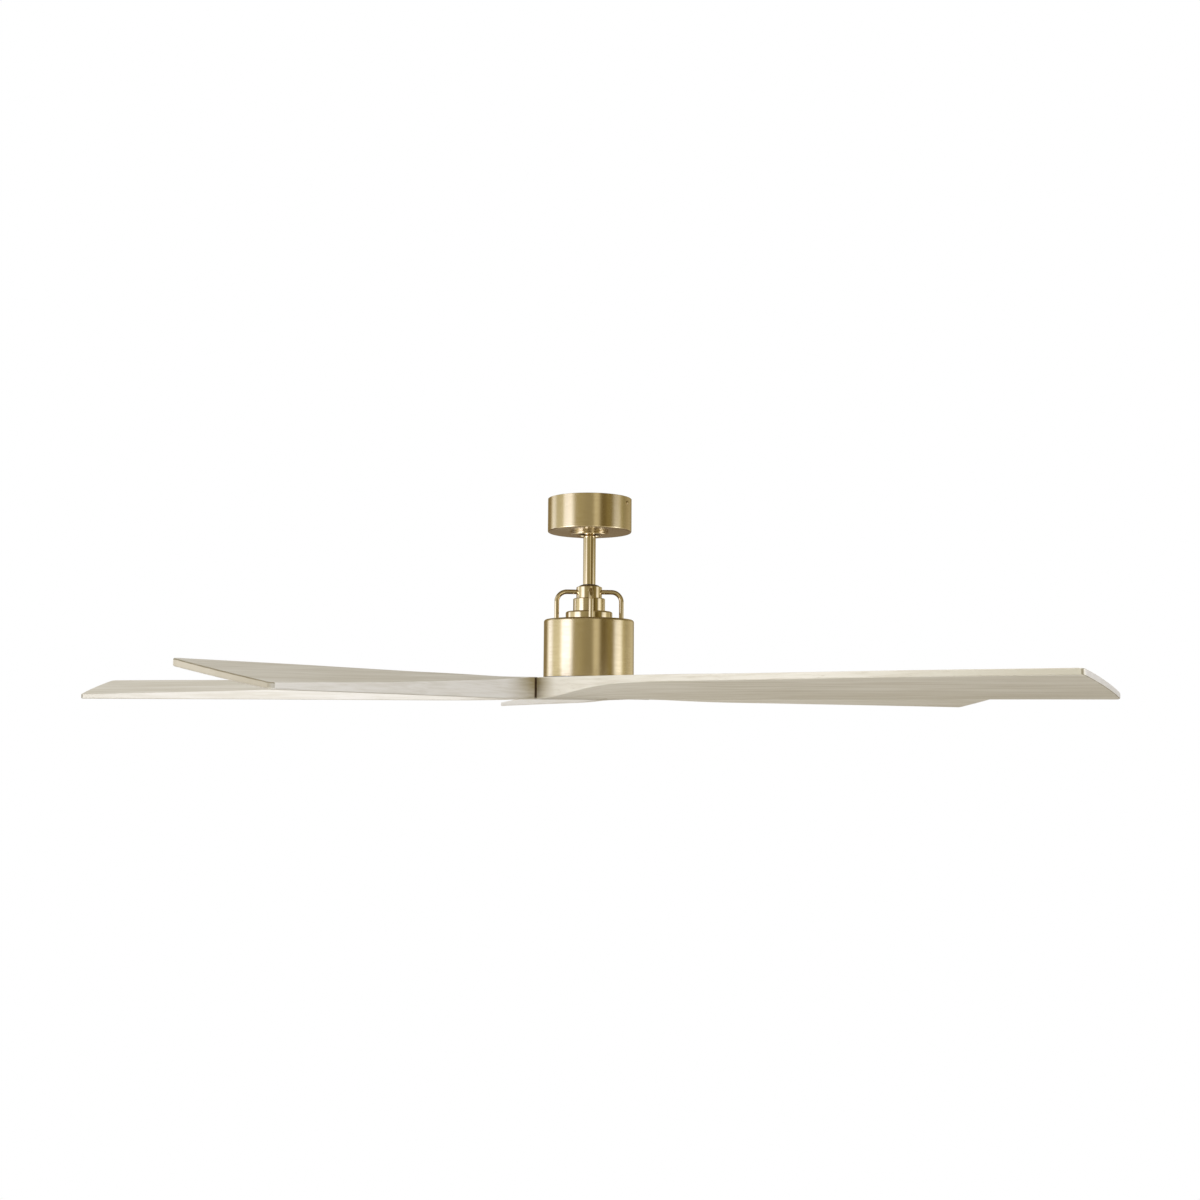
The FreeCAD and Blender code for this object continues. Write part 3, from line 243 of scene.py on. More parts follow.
class Shade:
    """One node tree. Every node in it comes from its node method."""

    def __init__(self, tree):
        self.tree = tree
        tree.nodes.clear()

    def node(self, kind, settings=None, inputs=None, output=0):
        """Adds a node, sets its settings, then its sockets, and gives one of its outputs."""
        made = self.tree.nodes.new(kind)
        for name, value in (settings or {}).items():
            setattr(made, name, value)
        for name, value in (inputs or {}).items():
            if isinstance(value, Field):
                self.tree.links.new(value.socket, made.inputs[name])
            else:
                made.inputs[name].default_value = value
        return Field(self, made.outputs[output]) if len(made.outputs) else None

    def maths(self, operation, first, second=0.0, third=0.0):
        return self.node("ShaderNodeMath", {"operation": operation}, {0: first, 1: second, 2: third})

    def larger(self, first, second):
        return self.maths("MAXIMUM", first, second)

    def vector_maths(self, operation, first, second):
        return self.node("ShaderNodeVectorMath", {"operation": operation}, {0: first, 1: second})

    def blend(self, factor, first, second):
        """A mix of two colours."""
        settings = {"data_type": "RGBA", "clamp_factor": True}
        colours = {6: opaque(first), 7: opaque(second)}
        return self.node("ShaderNodeMix", settings, {0: factor, **colours}, output=2)

    def added(self, factor, first, second):
        """The first colour with a share of the second added to it."""
        settings = {"data_type": "RGBA", "blend_type": "ADD", "clamp_factor": True}
        colours = {6: opaque(first), 7: opaque(second)}
        return self.node("ShaderNodeMix", settings, {0: factor, **colours}, output=2)

    def between(self, value, low, high):
        """A smooth step from 0 at low to 1 at high."""
        settings = {"interpolation_type": "SMOOTHSTEP"}
        return self.node("ShaderNodeMapRange", settings, {"Value": value, "From Min": low, "From Max": high})

    def band(self, value, rise, fall):
        """1 from the end of a rise to the start of a fall, each a pair of values, and 0 outside both."""
        return self.between(value, *rise) * (1.0 - self.between(value, *fall))

    def noise(self, place, scale, detail=3.0, roughness=0.55):
        inputs = {"Vector": place, "Scale": scale, "Detail": detail, "Roughness": roughness}
        return self.node("ShaderNodeTexNoise", {}, inputs)

    def place(self):
        """Where a point lies in the fan, in metres."""
        return self.node("ShaderNodeTexCoord", output="Object")

    def parts(self, vector):
        """The three numbers of a vector."""
        first = self.node("ShaderNodeSeparateXYZ", {}, {0: vector})
        return [Field(self, socket) for socket in first.socket.node.outputs]

    def joined(self, x, y, z):
        return self.node("ShaderNodeCombineXYZ", {}, {"X": x, "Y": y, "Z": z})

    def turned(self, vector, angle):
        """A vector turned about the fan's axis."""
        inputs = {"Vector": vector, "Angle": angle}
        return self.node("ShaderNodeVectorRotate", {"rotation_type": "Z_AXIS"}, inputs)

    def bump(self, height, distance, strength=1.0):
        return self.node("ShaderNodeBump", {}, {"Height": height, "Distance": distance, "Strength": strength})

    def surface(self, inputs):
        """A Principled surface, joined to the output."""
        made = self.node("ShaderNodeBsdfPrincipled", {}, inputs)
        self.node("ShaderNodeOutputMaterial", {}, {"Surface": made})


def reach_at(x, y):
    """How far a point lies from the fan's axis."""
    return (x * x + y * y) ** 0.5


def scaled(parts, factor):
    """Each part of a colour or of a place, times a factor."""
    return tuple(part * factor for part in parts)


def opaque(tint):
    """A colour with its alpha, or a field as it is."""
    return tint if isinstance(tint, Field) else (*tint, 1.0)


# Finishes


def satin_brass(shade, finish, rough, stretch):
    """Lacquered brass with fine turning marks round the fan's axis."""
    place = shade.place()
    x, y, z = shade.parts(place)
    reach = reach_at(x, y)
    travel = z + reach
    fine_pitch = finish.ring_pitch
    broad_pitch = 5 * fine_pitch
    fine = shade.noise(shade.joined(x / reach, y / reach, travel / fine_pitch), scale=1.0, detail=2.0)
    broad_place = shade.joined(x * 3.0 / reach, y * 3.0 / reach, travel / broad_pitch)
    broad = shade.noise(broad_place, scale=1.0, detail=2.0)
    handling = shade.noise(place, scale=24.0, detail=4.0)
    depth = shade.between(0.4 * fine + 0.6 * broad, 0.34, 0.66)
    shade.surface({
        "Base Color": shade.blend(depth, finish.brass_dark, finish.brass),
        "Metallic": 1.0,
        "Roughness": rough - 0.02 * depth + 0.04 * (handling - 0.5),
        "Anisotropic": stretch,
        "Anisotropic Rotation": 0.25,
        "Coat Weight": 1.0,
        "Coat Roughness": finish.lacquer_roughness,
        "Normal": shade.bump(fine, distance=0.003 * mm, strength=0.4),
    })


def turned_brass(shade, finish):
    satin_brass(shade, finish, finish.brass_roughness, finish.brass_stretch)


def buffed_brass(shade, finish):
    satin_brass(shade, finish, finish.buffed_roughness, 0.0)


def seam_stain_and_shading(shade, finish, back):
    """How stained and shaded a point is, and where it lies in a seam's painted shadow line, from its distance
    to the hub's seams.
    """
    x, y, z = shade.parts(shade.place())
    reach = reach_at(x, y)
    whole_steps = 100
    turn = (shade.maths("ARCTAN2", y, x) - seam_heading) / blade_step + (whole_steps + 0.5)
    off = abs(shade.maths("FRACT", turn) - 0.5) * blade_step
    beyond = shade.larger(reach - seam_reach, 0.0)
    away = ((reach * off) ** 2.0 + beyond * beyond) ** 0.5
    outside = shade.between(reach, *stain_and_shade_reaches)
    # Darker towards each seam: partly stained wood, partly painted shade in the hub's inner corner
    spread = finish.stain_and_shade_reach + back * (finish.stain_and_shade_spread - finish.stain_and_shade_reach)
    stain_and_shade = shade.larger(1.0 - away / spread, 0.0) ** 1.25 * outside
    darker_above = 0.78 + 0.48 * shade.between(z, *stain_and_shade_levels)
    stain_and_shade = stain_and_shade * (0.92 + 0.08 * back) * darker_above
    # A dark line on the blade's back beside each seam: painted shadow in the crease
    line = back * shade.band(away / finish.seam_shadow_width, (0.04, 0.14), (0.76, 1.0))
    return stain_and_shade, line


# How light each blade's wash is drawn, and then the cap's: painted light for how brightly each blade is lit.
# On the trailing side of a plank, where a paler colour is painted as light, it is drawn no lighter than the
# single number below
painted_light_tones = (1.07, 0.915, 1.07, 1.23, 1.16, 1.0)
lit_side_tone = 1.03

# The blades whose tip took little wash
bare_ends = (2,)

# How far the patterns of the wood move from one plank to the next, so that no two are alike
plank_shift = (1.7, 0.31, 0.53)


class Plank:
    """One plank, which lies along its own X axis: the patterns of its wood, and which way a point faces."""

    def __init__(self, shade, finish, heading, number):
        self.shade = shade
        self.number = number
        # Painted light: how light this plank's wash is drawn
        self.tone = painted_light_tones[number - 1]
        self.shift = scaled(plank_shift, number)
        along = shade.vector_maths("ADD", shade.turned(shade.place(), -heading), self.shift)
        self.x, y, self.z = shade.parts(along)
        self.y = y + 0.012 * shade.noise(along, scale=3.0, detail=2.0)
        thin = 1.0 / finish.grain_width
        self.streaks = self.lines(1.6, 34.0, detail=4.0, roughness=0.6)
        self.bands = self.lines(0.9, 9.0, detail=2.0, roughness=0.55)
        self.veins = self.lines(5.0, 0.28 * thin, detail=3.0, roughness=0.6)
        self.grain = self.lines(1.0 / finish.grain_length, thin, detail=3.0, roughness=0.6)
        self.depth = shade.between(0.35 * self.streaks + 0.25 * self.bands + 0.4 * self.veins, 0.41, 0.62)
        self.pores = shade.between(self.grain, 0.54, 0.76) * shade.between(self.veins, 0.42, 0.62)
        normal = shade.node("ShaderNodeNewGeometry", output="Normal")
        self.ahead, self.aside, self.up = shade.parts(shade.turned(normal, -heading))

    def lines(self, along, across, detail, roughness):
        """Lines along the plank, from how closely they change along it and across it."""
        place = self.shade.joined(self.x * along, self.y * across, self.z * across)
        return self.shade.noise(place, 1.0, detail, roughness)


def washed_faces(shade, finish, plank):
    """The wash over a plank, drawn at its own painted light level: worn on its front towards the tip, and
    with painted light making it paler on its trailing side.
    """
    tone = plank.tone
    tint = shade.blend(0.85 * plank.depth, scaled(finish.wood, tone), scaled(finish.wood_streak, tone))
    tint = shade.blend(0.62 * plank.pores, tint, scaled(finish.wood_pore, tone))
    outward = plank.x - plank.shift[0]
    front = shade.between(-plank.aside, 0.6, 0.9) * shade.between(outward, 0.45, 0.92)
    tint = shade.blend(0.95 * front, tint, finish.front_wear)
    # Painted light: a paler colour on the trailing side
    side = shade.between(plank.aside, 0.6, 0.9) * (0.85 - 0.35 * plank.depth)
    return shade.blend(side, tint, scaled(finish.lit_side_wood, min(tone, lit_side_tone)))


def bare_end(shade, plank, end):
    """How bare the wood is at a tip that took little wash: its upper edge, its rubbed corner and its end."""
    upper_edge = shade.band(plank.up, (0.15, 0.35), (0.85, 0.96)) * shade.between(plank.ahead, 0.05, 0.2)
    behind = shade.between(plank.aside, 0.0, 0.15) * shade.between(plank.up, -0.35, -0.1)
    rubbed = shade.band(plank.ahead, (0.03, 0.25), (0.9, 0.99)) * behind * 0.6
    sideways = plank.y - plank.shift[1]
    dull = end * shade.between(sideways, -0.13, -0.01) * (0.1 + 0.5 * plank.bands)
    return shade.larger(shade.larger(upper_edge, rubbed), dull)


def worn_ends(shade, finish, plank, tint):
    """A plank's tint with its end grain and the line that wear has drawn round it."""
    end = shade.between(abs(plank.ahead), 0.75, 0.95)
    if plank.number in bare_ends:
        end_tint = finish.end_bare
        worn = bare_end(shade, plank, end)
    else:
        end_tint = finish.end_grain
        worn = shade.band(plank.ahead, (0.35, 0.5), (0.65, 0.8))
    tint = shade.blend(end * (0.7 + 0.4 * plank.streaks), tint, end_tint)
    return shade.blend(worn * (0.5 + 0.8 * plank.streaks), tint, finish.edge_line)


def pale_wood(shade, finish, heading, number):
    """Washed wood whose grain runs along one blade."""
    plank = Plank(shade, finish, heading, number)
    tint = worn_ends(shade, finish, plank, washed_faces(shade, finish, plank))
    # Darker towards the seams, partly stained wood and partly painted shade, with a painted shadow line in
    # each seam's crease
    stain_and_shade, line = seam_stain_and_shading(shade, finish, shade.between(plank.aside, 0.3, 0.6))
    upright = 1.0 - shade.between(abs(plank.up), 0.5, 0.8)
    tint = shade.blend(stain_and_shade * upright * (0.6 + 0.8 * plank.veins), tint, finish.seam_stain_and_shade)
    shade.surface({
        "Base Color": shade.blend(line * upright, tint, finish.seam_shadow),
        "Roughness": finish.wood_roughness + 0.12 * plank.pores - 0.06 * plank.depth,
        "Specular IOR Level": finish.wood_gloss,
        "Normal": shade.bump(plank.grain - 0.5 * plank.pores, distance=0.025 * mm, strength=0.5),
    })


def mottled_metal(shade, tint, rough, grain, depth):
    """Bare metal with a fine mottle, such as plating or a casting's skin."""
    place = shade.place()
    mottle = shade.noise(place, scale=1.0 / grain)
    cloud = shade.noise(place, scale=30.0)
    shade.surface({
        "Base Color": shade.blend(0.5 * mottle + 0.5 * cloud, scaled(tint, 0.82), tint),
        "Metallic": 1.0,
        "Roughness": rough + 0.12 * (mottle - 0.5) + 0.08 * (cloud - 0.5),
        "Normal": shade.bump(mottle, depth, strength=0.6),
    })


def zinc_steel(shade, finish):
    mottled_metal(shade, finish.steel, rough=0.38, grain=1.5 * mm, depth=0.01 * mm)


def cast_aluminium(shade, finish):
    mottled_metal(shade, finish.aluminium, rough=0.55, grain=0.8 * mm, depth=0.06 * mm)


def core_steel(shade, finish):
    """Thin laminations, stacked along the axis."""
    x, y, z = shade.parts(shade.place())
    sheet_thickness = 0.5 * mm
    sheet = shade.noise(shade.joined(x * 2.0, y * 2.0, z / sheet_thickness), scale=1.0, detail=1.0)
    shade.surface({
        "Base Color": shade.blend(sheet, scaled(finish.core, 0.6), finish.core),
        "Metallic": 0.9,
        "Roughness": 0.42 + 0.15 * sheet,
        "Normal": shade.bump(sheet, distance=0.03 * mm, strength=0.6),
    })


def copper_wire(shade, finish):
    """Enamelled turns that lie side by side, with painted shade where neighbouring turns meet."""
    place = shade.place()
    x, y = shade.parts(place)[:2]
    wire_thickness = 0.9 * mm
    turns = abs(shade.maths("SINE", reach_at(x, y) * (math.pi / wire_thickness)))
    shade.surface({
        # Darker colour where the turns meet: painted shade
        "Base Color": shade.blend(turns ** 0.6, scaled(finish.copper, 0.55), finish.copper),
        "Metallic": 1.0,
        "Roughness": 0.24 + 0.1 * shade.noise(place, scale=60.0),
        "Normal": shade.bump(turns, distance=0.2 * mm, strength=0.7),
    })


def dull_solid(shade, tint, rough, grain, depth):
    """A moulded or ground surface with a fine skin and a trace of dust."""
    place = shade.place()
    skin = shade.noise(place, scale=1.0 / grain)
    dust = shade.noise(place, scale=45.0, detail=4.0)
    dusty = [part + 0.02 + 0.05 * part for part in tint]
    shade.surface({
        "Base Color": shade.blend(shade.between(dust, 0.45, 0.8), tint, dusty),
        "Roughness": rough + 0.14 * (skin - 0.5) + 0.1 * (dust - 0.5),
        "Normal": shade.bump(skin, depth, strength=0.5),
    })


def magnet_ceramic(shade, finish):
    dull_solid(shade, finish.magnet, rough=0.38, grain=0.4 * mm, depth=0.01 * mm)


def black_nylon(shade, finish):
    dull_solid(shade, finish.nylon, rough=0.46, grain=0.5 * mm, depth=0.02 * mm)


def black_rubber(shade, finish):
    dull_solid(shade, finish.rubber, rough=0.72, grain=0.6 * mm, depth=0.03 * mm)


def pale_plastic(shade, finish):
    dull_solid(shade, finish.plastic, rough=0.32, grain=0.6 * mm, depth=0.01 * mm)


def wood_screw_finish(shade, finish):
    dull_solid(shade, finish.screw_paint, rough=0.42, grain=0.5 * mm, depth=0.01 * mm)


finish_makers = {
    "satin_brass": turned_brass,
    "buffed_brass": buffed_brass,
    "zinc_steel": zinc_steel,
    "cast_aluminium": cast_aluminium,
    "core_steel": core_steel,
    "copper_wire": copper_wire,
    "magnet_ceramic": magnet_ceramic,
    "black_nylon": black_nylon,
    "black_rubber": black_rubber,
    "pale_plastic": pale_plastic,
    "wood_screw_finish": wood_screw_finish,
}


def finish_named(name):
    """The material of that name, made when it is first asked for."""
    made = bpy.data.materials.get("fan_" + name)
    if made is None:
        made = bpy.data.materials.new("fan_" + name)
        made.use_nodes = True
        finish_makers[name](Shade(made.node_tree), bpy.context.scene.fan_finish)
    return made


def wood_along(heading, number):
    """The washed wood of one blade, with its grain at a heading about the fan's axis."""
    made = bpy.data.materials.new("fan_pale_wood_" + str(number))
    made.use_nodes = True
    pale_wood(Shade(made.node_tree), bpy.context.scene.fan_finish, heading, number)
    return made


def dress(node, material):
    """Gives a piece of the frame its finish."""
    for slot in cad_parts[node].material_slots:
        slot.material = material


def dress_all(nodes, finish):
    for node in nodes:
        dress(node, finish_named(finish))


# Shapes


# A rounding takes at most this share of each side next to its corner
rounding_most = 0.49


def loop_of(corners, steps):
    """A closed outline from corners, each a radius, a level and a rounding."""
    points = []
    for index, (reach, level, rounding) in enumerate(corners):
        here = Vector((reach, level))
        before = Vector(corners[index - 1][:2]) - here
        after = Vector(corners[(index + 1) % len(corners)][:2]) - here
        if rounding <= 0:
            points.append(here)
            continue
        half = before.angle(after) / 2
        most = rounding_most * min(before.length, after.length)
        back = min(rounding / math.tan(half), most)
        radius = back * math.tan(half)
        middle = here + (before.normalized() + after.normalized()).normalized() * (radius / math.sin(half))
        first = here + before.normalized() * back - middle
        swing = first.angle_signed(here + after.normalized() * back - middle)
        for step in range(steps + 1):
            turn = Matrix.Rotation(-swing * step / steps, 2)
            points.append(middle + turn @ first)
    return points


def shown_piece(name, mesh, body, material, nodes):
    """Puts a finished mesh in the scene in place of nodes of the frame."""
    piece = bpy.data.objects.new(name, mesh)
    bpy.context.scene.collection.objects.link(piece)
    mesh.materials.append(material)
    mesh.shade_smooth()
    weighted = piece.modifiers.new("weighted_normals", "WEIGHTED_NORMAL")
    weighted.weight = 100
    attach(piece, body)
    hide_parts(*nodes)
    return piece


def mesh_of_rings(name, rings, closed):
    """A mesh through rings of points. Closed rings join the last to the first, else both ends are capped."""
    shape = bmesh.new()
    made = [[shape.verts.new(point) for point in ring] for ring in rings]
    pairs = list(zip(made, made[1:]))
    if closed:
        pairs.append((made[-1], made[0]))
    for first, second in pairs:
        for index in range(len(first)):
            after = (index + 1) % len(first)
            shape.faces.new((first[index], first[after], second[after], second[index]))
    if not closed:
        shape.faces.new(made[0])
        shape.faces.new(made[-1])
    bmesh.ops.recalc_face_normals(shape, faces=shape.faces)
    mesh = bpy.data.meshes.new(name)
    shape.to_mesh(mesh)
    shape.free()
    return mesh


def turned_piece(name, corners, body, finish, nodes):
    """A piece turned about the fan's axis from its outline."""
    sizes = bpy.context.scene.fan_sizes
    outline = loop_of(corners, sizes.arc_steps)
    rings = []
    for index in range(sizes.segments):
        turn = 2 * math.pi * index / sizes.segments
        rings.append([(point.x * math.cos(turn), point.x * math.sin(turn), point.y) for point in outline])
    mesh = mesh_of_rings(name, rings, closed=True)
    return shown_piece(name, mesh, body, finish_named(finish), nodes)


def reach_of(node):
    """The radius of a turned node, measured on its box."""
    low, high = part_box(node)
    return (high.x - low.x) / 2


# Pieces


class FanCanopy(bpy.types.Operator):
    """Turns the canopy and its trim ring, and finishes the canopy's screws."""

    bl_idname = "fan.canopy"
    bl_label = "Canopy"

    def execute(self, context):
        sizes = context.scene.fan_sizes
        edge = sizes.edge
        low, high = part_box("canopy")
        outer = reach_of("canopy")
        inner = outer - sizes.canopy_wall
        floor = low.z + sizes.canopy_wall
        mouth = sizes.canopy_mouth / 2
        corners = [
            (outer, high.z, edge),
            (outer, low.z, sizes.canopy_round),
            (mouth, low.z, edge),
            (mouth, floor, edge),
            (inner, floor, sizes.canopy_round - sizes.canopy_wall),
            (inner, high.z, edge),
        ]
        turned_piece("canopy_cup", corners, "mount", "satin_brass", ["canopy"])
        self.trim_ring(sizes, low.z)
        dress_all(["canopy_screws"], "satin_brass")
        return {"FINISHED"}

    def trim_ring(self, sizes, seat):
        """Two stacked beads round the canopy's mouth, with a groove between them."""
        low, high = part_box("canopy_ring")
        bead = reach_of("canopy_ring")
        neck = sizes.ring_neck / 2
        bore = sizes.ring_bore / 2
        spigot = sizes.ring_spigot / 2
        middle = seat - sizes.ring_neck_height
        groove = bead - sizes.ring_groove_depth
        half = sizes.ring_groove / 2
        lip_low = high.z - sizes.ring_lip
        lip = spigot + sizes.ring_lip
        soft = sizes.ring_round
        corners = [
            (bore, low.z, sizes.ring_mouth_round),
            (bead, low.z, soft),
            (bead, middle - half, soft),
            (groove, middle - half, half / 2),
            (groove, middle + half, half / 2),
            (neck, middle + half, soft),
            (neck, seat, soft),
            (spigot, seat, 0),
            (spigot, lip_low, 0),
            (lip, lip_low, sizes.edge),
            (lip, high.z, sizes.edge),
            (bore, high.z, sizes.edge),
        ]
        turned_piece("canopy_trim_ring", corners, "mount", "buffed_brass", ["canopy_ring"])


class FanDownrod(bpy.types.Operator):
    """Turns the downrod and the gasket that it passes through."""

    bl_idname = "fan.downrod"
    bl_label = "Downrod"

    def execute(self, context):
        sizes = context.scene.fan_sizes
        rod = reach_of("downrod")
        edge = sizes.edge
        low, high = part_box("downrod")
        bore = sizes.rod_bore / 2
        corners = [(rod, low.z, edge), (rod, high.z, edge), (bore, high.z, edge), (bore, low.z, edge)]
        turned_piece("downrod_tube", corners, "hang", "buffed_brass", ["downrod"])
        low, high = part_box("rod_gasket")
        outer = reach_of("rod_gasket")
        snug = rod + sizes.rod_gap / 4
        corners = [
            (outer, low.z, 0),
            (outer, low.z + sizes.gasket_rim, edge),
            (snug + sizes.gasket_rim, high.z, edge),
            (snug, high.z, 0),
            (snug, low.z, 0),
        ]
        turned_piece("downrod_gasket", corners, "hang", "black_rubber", ["rod_gasket"])
        return {"FINISHED"}


class FanCollar(bpy.types.Operator):
    """Turns the collar's three pieces."""

    bl_idname = "fan.collar"
    bl_label = "Collar"

    def execute(self, context):
        sizes = context.scene.fan_sizes
        self.upper(sizes)
        self.middle(sizes)
        self.flange(sizes)
        return {"FINISHED"}

    def upper(self, sizes):
        low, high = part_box("collar_top")
        outer = reach_of("collar_top")
        rod = reach_of("downrod") + sizes.rod_gap
        bore = sizes.top_bore / 2
        lid = high.z - sizes.top_lid
        corners = [
            (outer, low.z, sizes.edge),
            (outer, high.z - sizes.bevel_height, sizes.edge),
            (outer - sizes.bevel_width, high.z, sizes.edge),
            (rod, high.z, sizes.edge),
            (rod, lid, sizes.edge),
            (bore, lid, sizes.edge),
            (bore, low.z, sizes.edge),
        ]
        turned_piece("collar_upper", corners, "hang", "buffed_brass", ["collar_top"])

    def middle(self, sizes):
        low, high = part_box("collar_middle")
        outer = reach_of("collar_middle")
        bore = sizes.middle_bore / 2
        corners = [
            (outer, low.z, sizes.edge),
            (outer, high.z - sizes.middle_bevel, sizes.edge),
            (outer - sizes.middle_bevel, high.z, sizes.edge),
            (bore, high.z, sizes.edge),
            (bore, low.z, sizes.edge),
        ]
        turned_piece("collar_waist", corners, "hang", "buffed_brass", ["collar_middle"])

    def flange(self, sizes):
        low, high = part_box("collar_flange")
        outer = reach_of("collar_flange")
        bore = sizes.middle_bore / 2
        room = outer - sizes.flange_wall
        lid = high.z - sizes.flange_lid
        corners = [
            (outer, low.z, sizes.edge),
            (outer, high.z, sizes.flange_round),
            (bore, high.z, sizes.edge),
            (bore, lid, sizes.edge),
            (room, lid, sizes.edge),
            (room, low.z, sizes.edge),
        ]
        turned_piece("collar_foot", corners, "hang", "buffed_brass", ["collar_flange"])


class FanGuardRods(bpy.types.Operator):
    """Bends the four guard rods from the collar down to the housing."""

    bl_idname = "fan.guard_rods"
    bl_label = "Guard Rods"

    sides = 40
    bend_steps = 20

    def execute(self, context):
        sizes = context.scene.fan_sizes
        for index, side in enumerate(("right", "back", "left", "front")):
            turn = Matrix.Rotation(sizes.guard_turn + math.pi / 2 * index, 3, "Z")
            name = "guard_rod_" + side
            rings = [[turn @ point for point in ring] for ring in self.rings(sizes)]
            mesh = mesh_of_rings("guard_bar_" + side, rings, closed=False)
            finish = finish_named("buffed_brass")
            shown_piece("guard_bar_" + side, mesh, "hang", finish, [name])
        return {"FINISHED"}

    def rings(self, sizes):
        """Rings of points along one rod, from the collar's wall to the housing's top."""
        radius = sizes.guard_thick / 2
        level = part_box("guard_rod_right")[1].z - radius
        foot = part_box("motor_housing")[1].z
        start = reach_of("collar_top") - sizes.guard_inset
        stand = sizes.guard_circle / 2
        bend = sizes.guard_bend
        soft = sizes.edge
        lines = [(Vector((start, 0, level)), 0.0, radius - soft)]
        lines.append((Vector((start + soft, 0, level)), 0.0, radius))
        for step in range(self.bend_steps + 1):
            swing = math.pi / 2 * step / self.bend_steps
            reach = stand - bend + bend * math.sin(swing)
            height = level - bend + bend * math.cos(swing)
            lines.append((Vector((reach, 0, height)), swing, radius))
        lines.append((Vector((stand, 0, foot + soft)), math.pi / 2, radius))
        lines.append((Vector((stand, 0, foot)), math.pi / 2, radius - soft))
        return [self.ring(middle, swing, reach) for middle, swing, reach in lines]

    def ring(self, middle, swing, radius):
        """Points round the rod's line, which has turned down by a swing."""
        outward = Vector((math.sin(swing), 0, math.cos(swing)))
        points = []
        for index in range(self.sides):
            turn = 2 * math.pi * index / self.sides
            points.append(middle + radius * (math.cos(turn) * outward + math.sin(turn) * Vector((0, 1, 0))))
        return points


class FanHousing(bpy.types.Operator):
    """Turns the drum that houses the motor."""

    bl_idname = "fan.housing"
    bl_label = "Motor Housing"

    def execute(self, context):
        sizes = context.scene.fan_sizes
        low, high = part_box("motor_housing")
        outer = reach_of("motor_housing")
        inner = outer - sizes.housing_wall
        lid = high.z - sizes.housing_top
        bore = sizes.housing_bore / 2
        corners = [
            (outer, low.z, sizes.edge),
            (outer, high.z, sizes.housing_round),
            (bore, high.z, sizes.edge),
            (bore, lid, sizes.edge),
            (inner, lid, sizes.housing_round - sizes.housing_wall),
            (inner, low.z, sizes.edge),
        ]
        turned_piece("motor_drum", corners, "hang", "satin_brass", ["motor_housing"])
        return {"FINISHED"}


class FanBlades(bpy.types.Operator):
    """Finishes the five blades and the cap under their hub in washed wood."""

    bl_idname = "fan.blades"
    bl_label = "Blades"

    def execute(self, context):
        for index in range(blade_count):
            heading = blade_heading - blade_step * index
            dress("blade_" + str(index + 1), wood_along(heading, index + 1))
        dress("hub_cap", wood_along(blade_heading, blade_count + 1))
        dress_all(["cap_screw"], "wood_screw_finish")
        return {"FINISHED"}


class FanHanger(bpy.types.Operator):
    """Finishes what hangs and wires the fan inside the canopy and the collar."""

    bl_idname = "fan.hanger"
    bl_label = "Hanger"

    def execute(self, context):
        dress_all(["hanger_bracket", "ball_cross_pin", "ball_set_screw", "terminal_screws"], "zinc_steel")
        dress_all(["yoke", "yoke_set_screws", "yoke_foot_screws"], "zinc_steel")
        dress_all(["yoke_clevis_pin", "pin_clip"], "zinc_steel")
        dress_all(["hanger_ball", "ball_seat", "receiver_module"], "black_nylon")
        dress_all(["terminal_block"], "pale_plastic")
        return {"FINISHED"}


class FanMotor(bpy.types.Operator):
    """Finishes the motor and the hub plate that carries the blades."""

    bl_idname = "fan.motor"
    bl_label = "Motor"

    def execute(self, context):
        dress_all(["guard_nuts", "motor_shaft", "shaft_circlips", "shell_screws"], "zinc_steel")
        dress_all(["bearing_inner_races", "bearing_outer_races", "bearing_balls"], "zinc_steel")
        dress_all(["hub_plate", "hub_plate_screws", "blade_screws"], "zinc_steel")
        dress_all(["backing_plate", "rotor_lower_shell", "rotor_upper_shell"], "cast_aluminium")
        dress_all(["stator_core", "rotor_ring"], "core_steel")
        dress_all(["stator_windings"], "copper_wire")
        dress_all(["rotor_magnets"], "magnet_ceramic")
        return {"FINISHED"}


# Studio

# The soft panels that metal mirrors round the horizon. Each has its middle, in degrees to the right of the
# camera's side, half its width, the width of its soft edge, its colour, and the shares of it low and high up
mirrored_panels = {
    "back_glow": (180, 62, 30, (0.16, 0.13, 0.09), 1.0, 1.0),
    "left_edge": (-115, 9, 10, (0.66, 0.78, 1.28), 1.0, 0.42),
    "left_shoulder": (-101, 30, 14, (0.90, 0.93, 0.84), 1.0, 0.50),
    "left_panel": (-58.5, 15, 12, (1.85, 2.05, 2.85), 1.0, 0.0),
    "left_upper_panel": (-62.5, 13, 12, (0.68, 0.75, 1.05), 0.0, 1.0),
    "left_glow": (-44, 25, 40, (0.15, 0.15, 0.10), 1.0, 0.4),
    "front_glow": (-20, 42, 26, (0.31, 0.305, 0.245), 0.58, 1.0),
    "front_strip": (19.5, 8, 8, (0.52, 0.52, 0.46), 1.0, 0.8),
    "upper_strip": (38, 20, 14, (0.09, 0.08, 0.06), 0.0, 1.0),
    "right_soft": (76, 29, 16, (0.16, 0.145, 0.075), 1.0, 0.65),
    "right_panel": (80, 12, 14, (1.30, 1.42, 1.72), 1.0, 0.07),
    "right_glow": (119, 34, 22, (0.44, 0.44, 0.35), 1.0, 0.31),
}

# How much of each colour a panel keeps higher up, where it turns warmer
warmer_above = (1.0, 0.97, 0.86)

# The room behind the panels, and what metal mirrors below and above them
mirrored_room = (0.12, 0.085, 0.014)
mirrored_floor = (0.74, 0.70, 0.57)
mirrored_underfoot = (0.26, 0.20, 0.08)
mirrored_high_front = (0.56, 0.51, 0.38)
mirrored_low_back = (0.21, 0.155, 0.10)
mirrored_ceiling = (0.17, 0.13, 0.055)

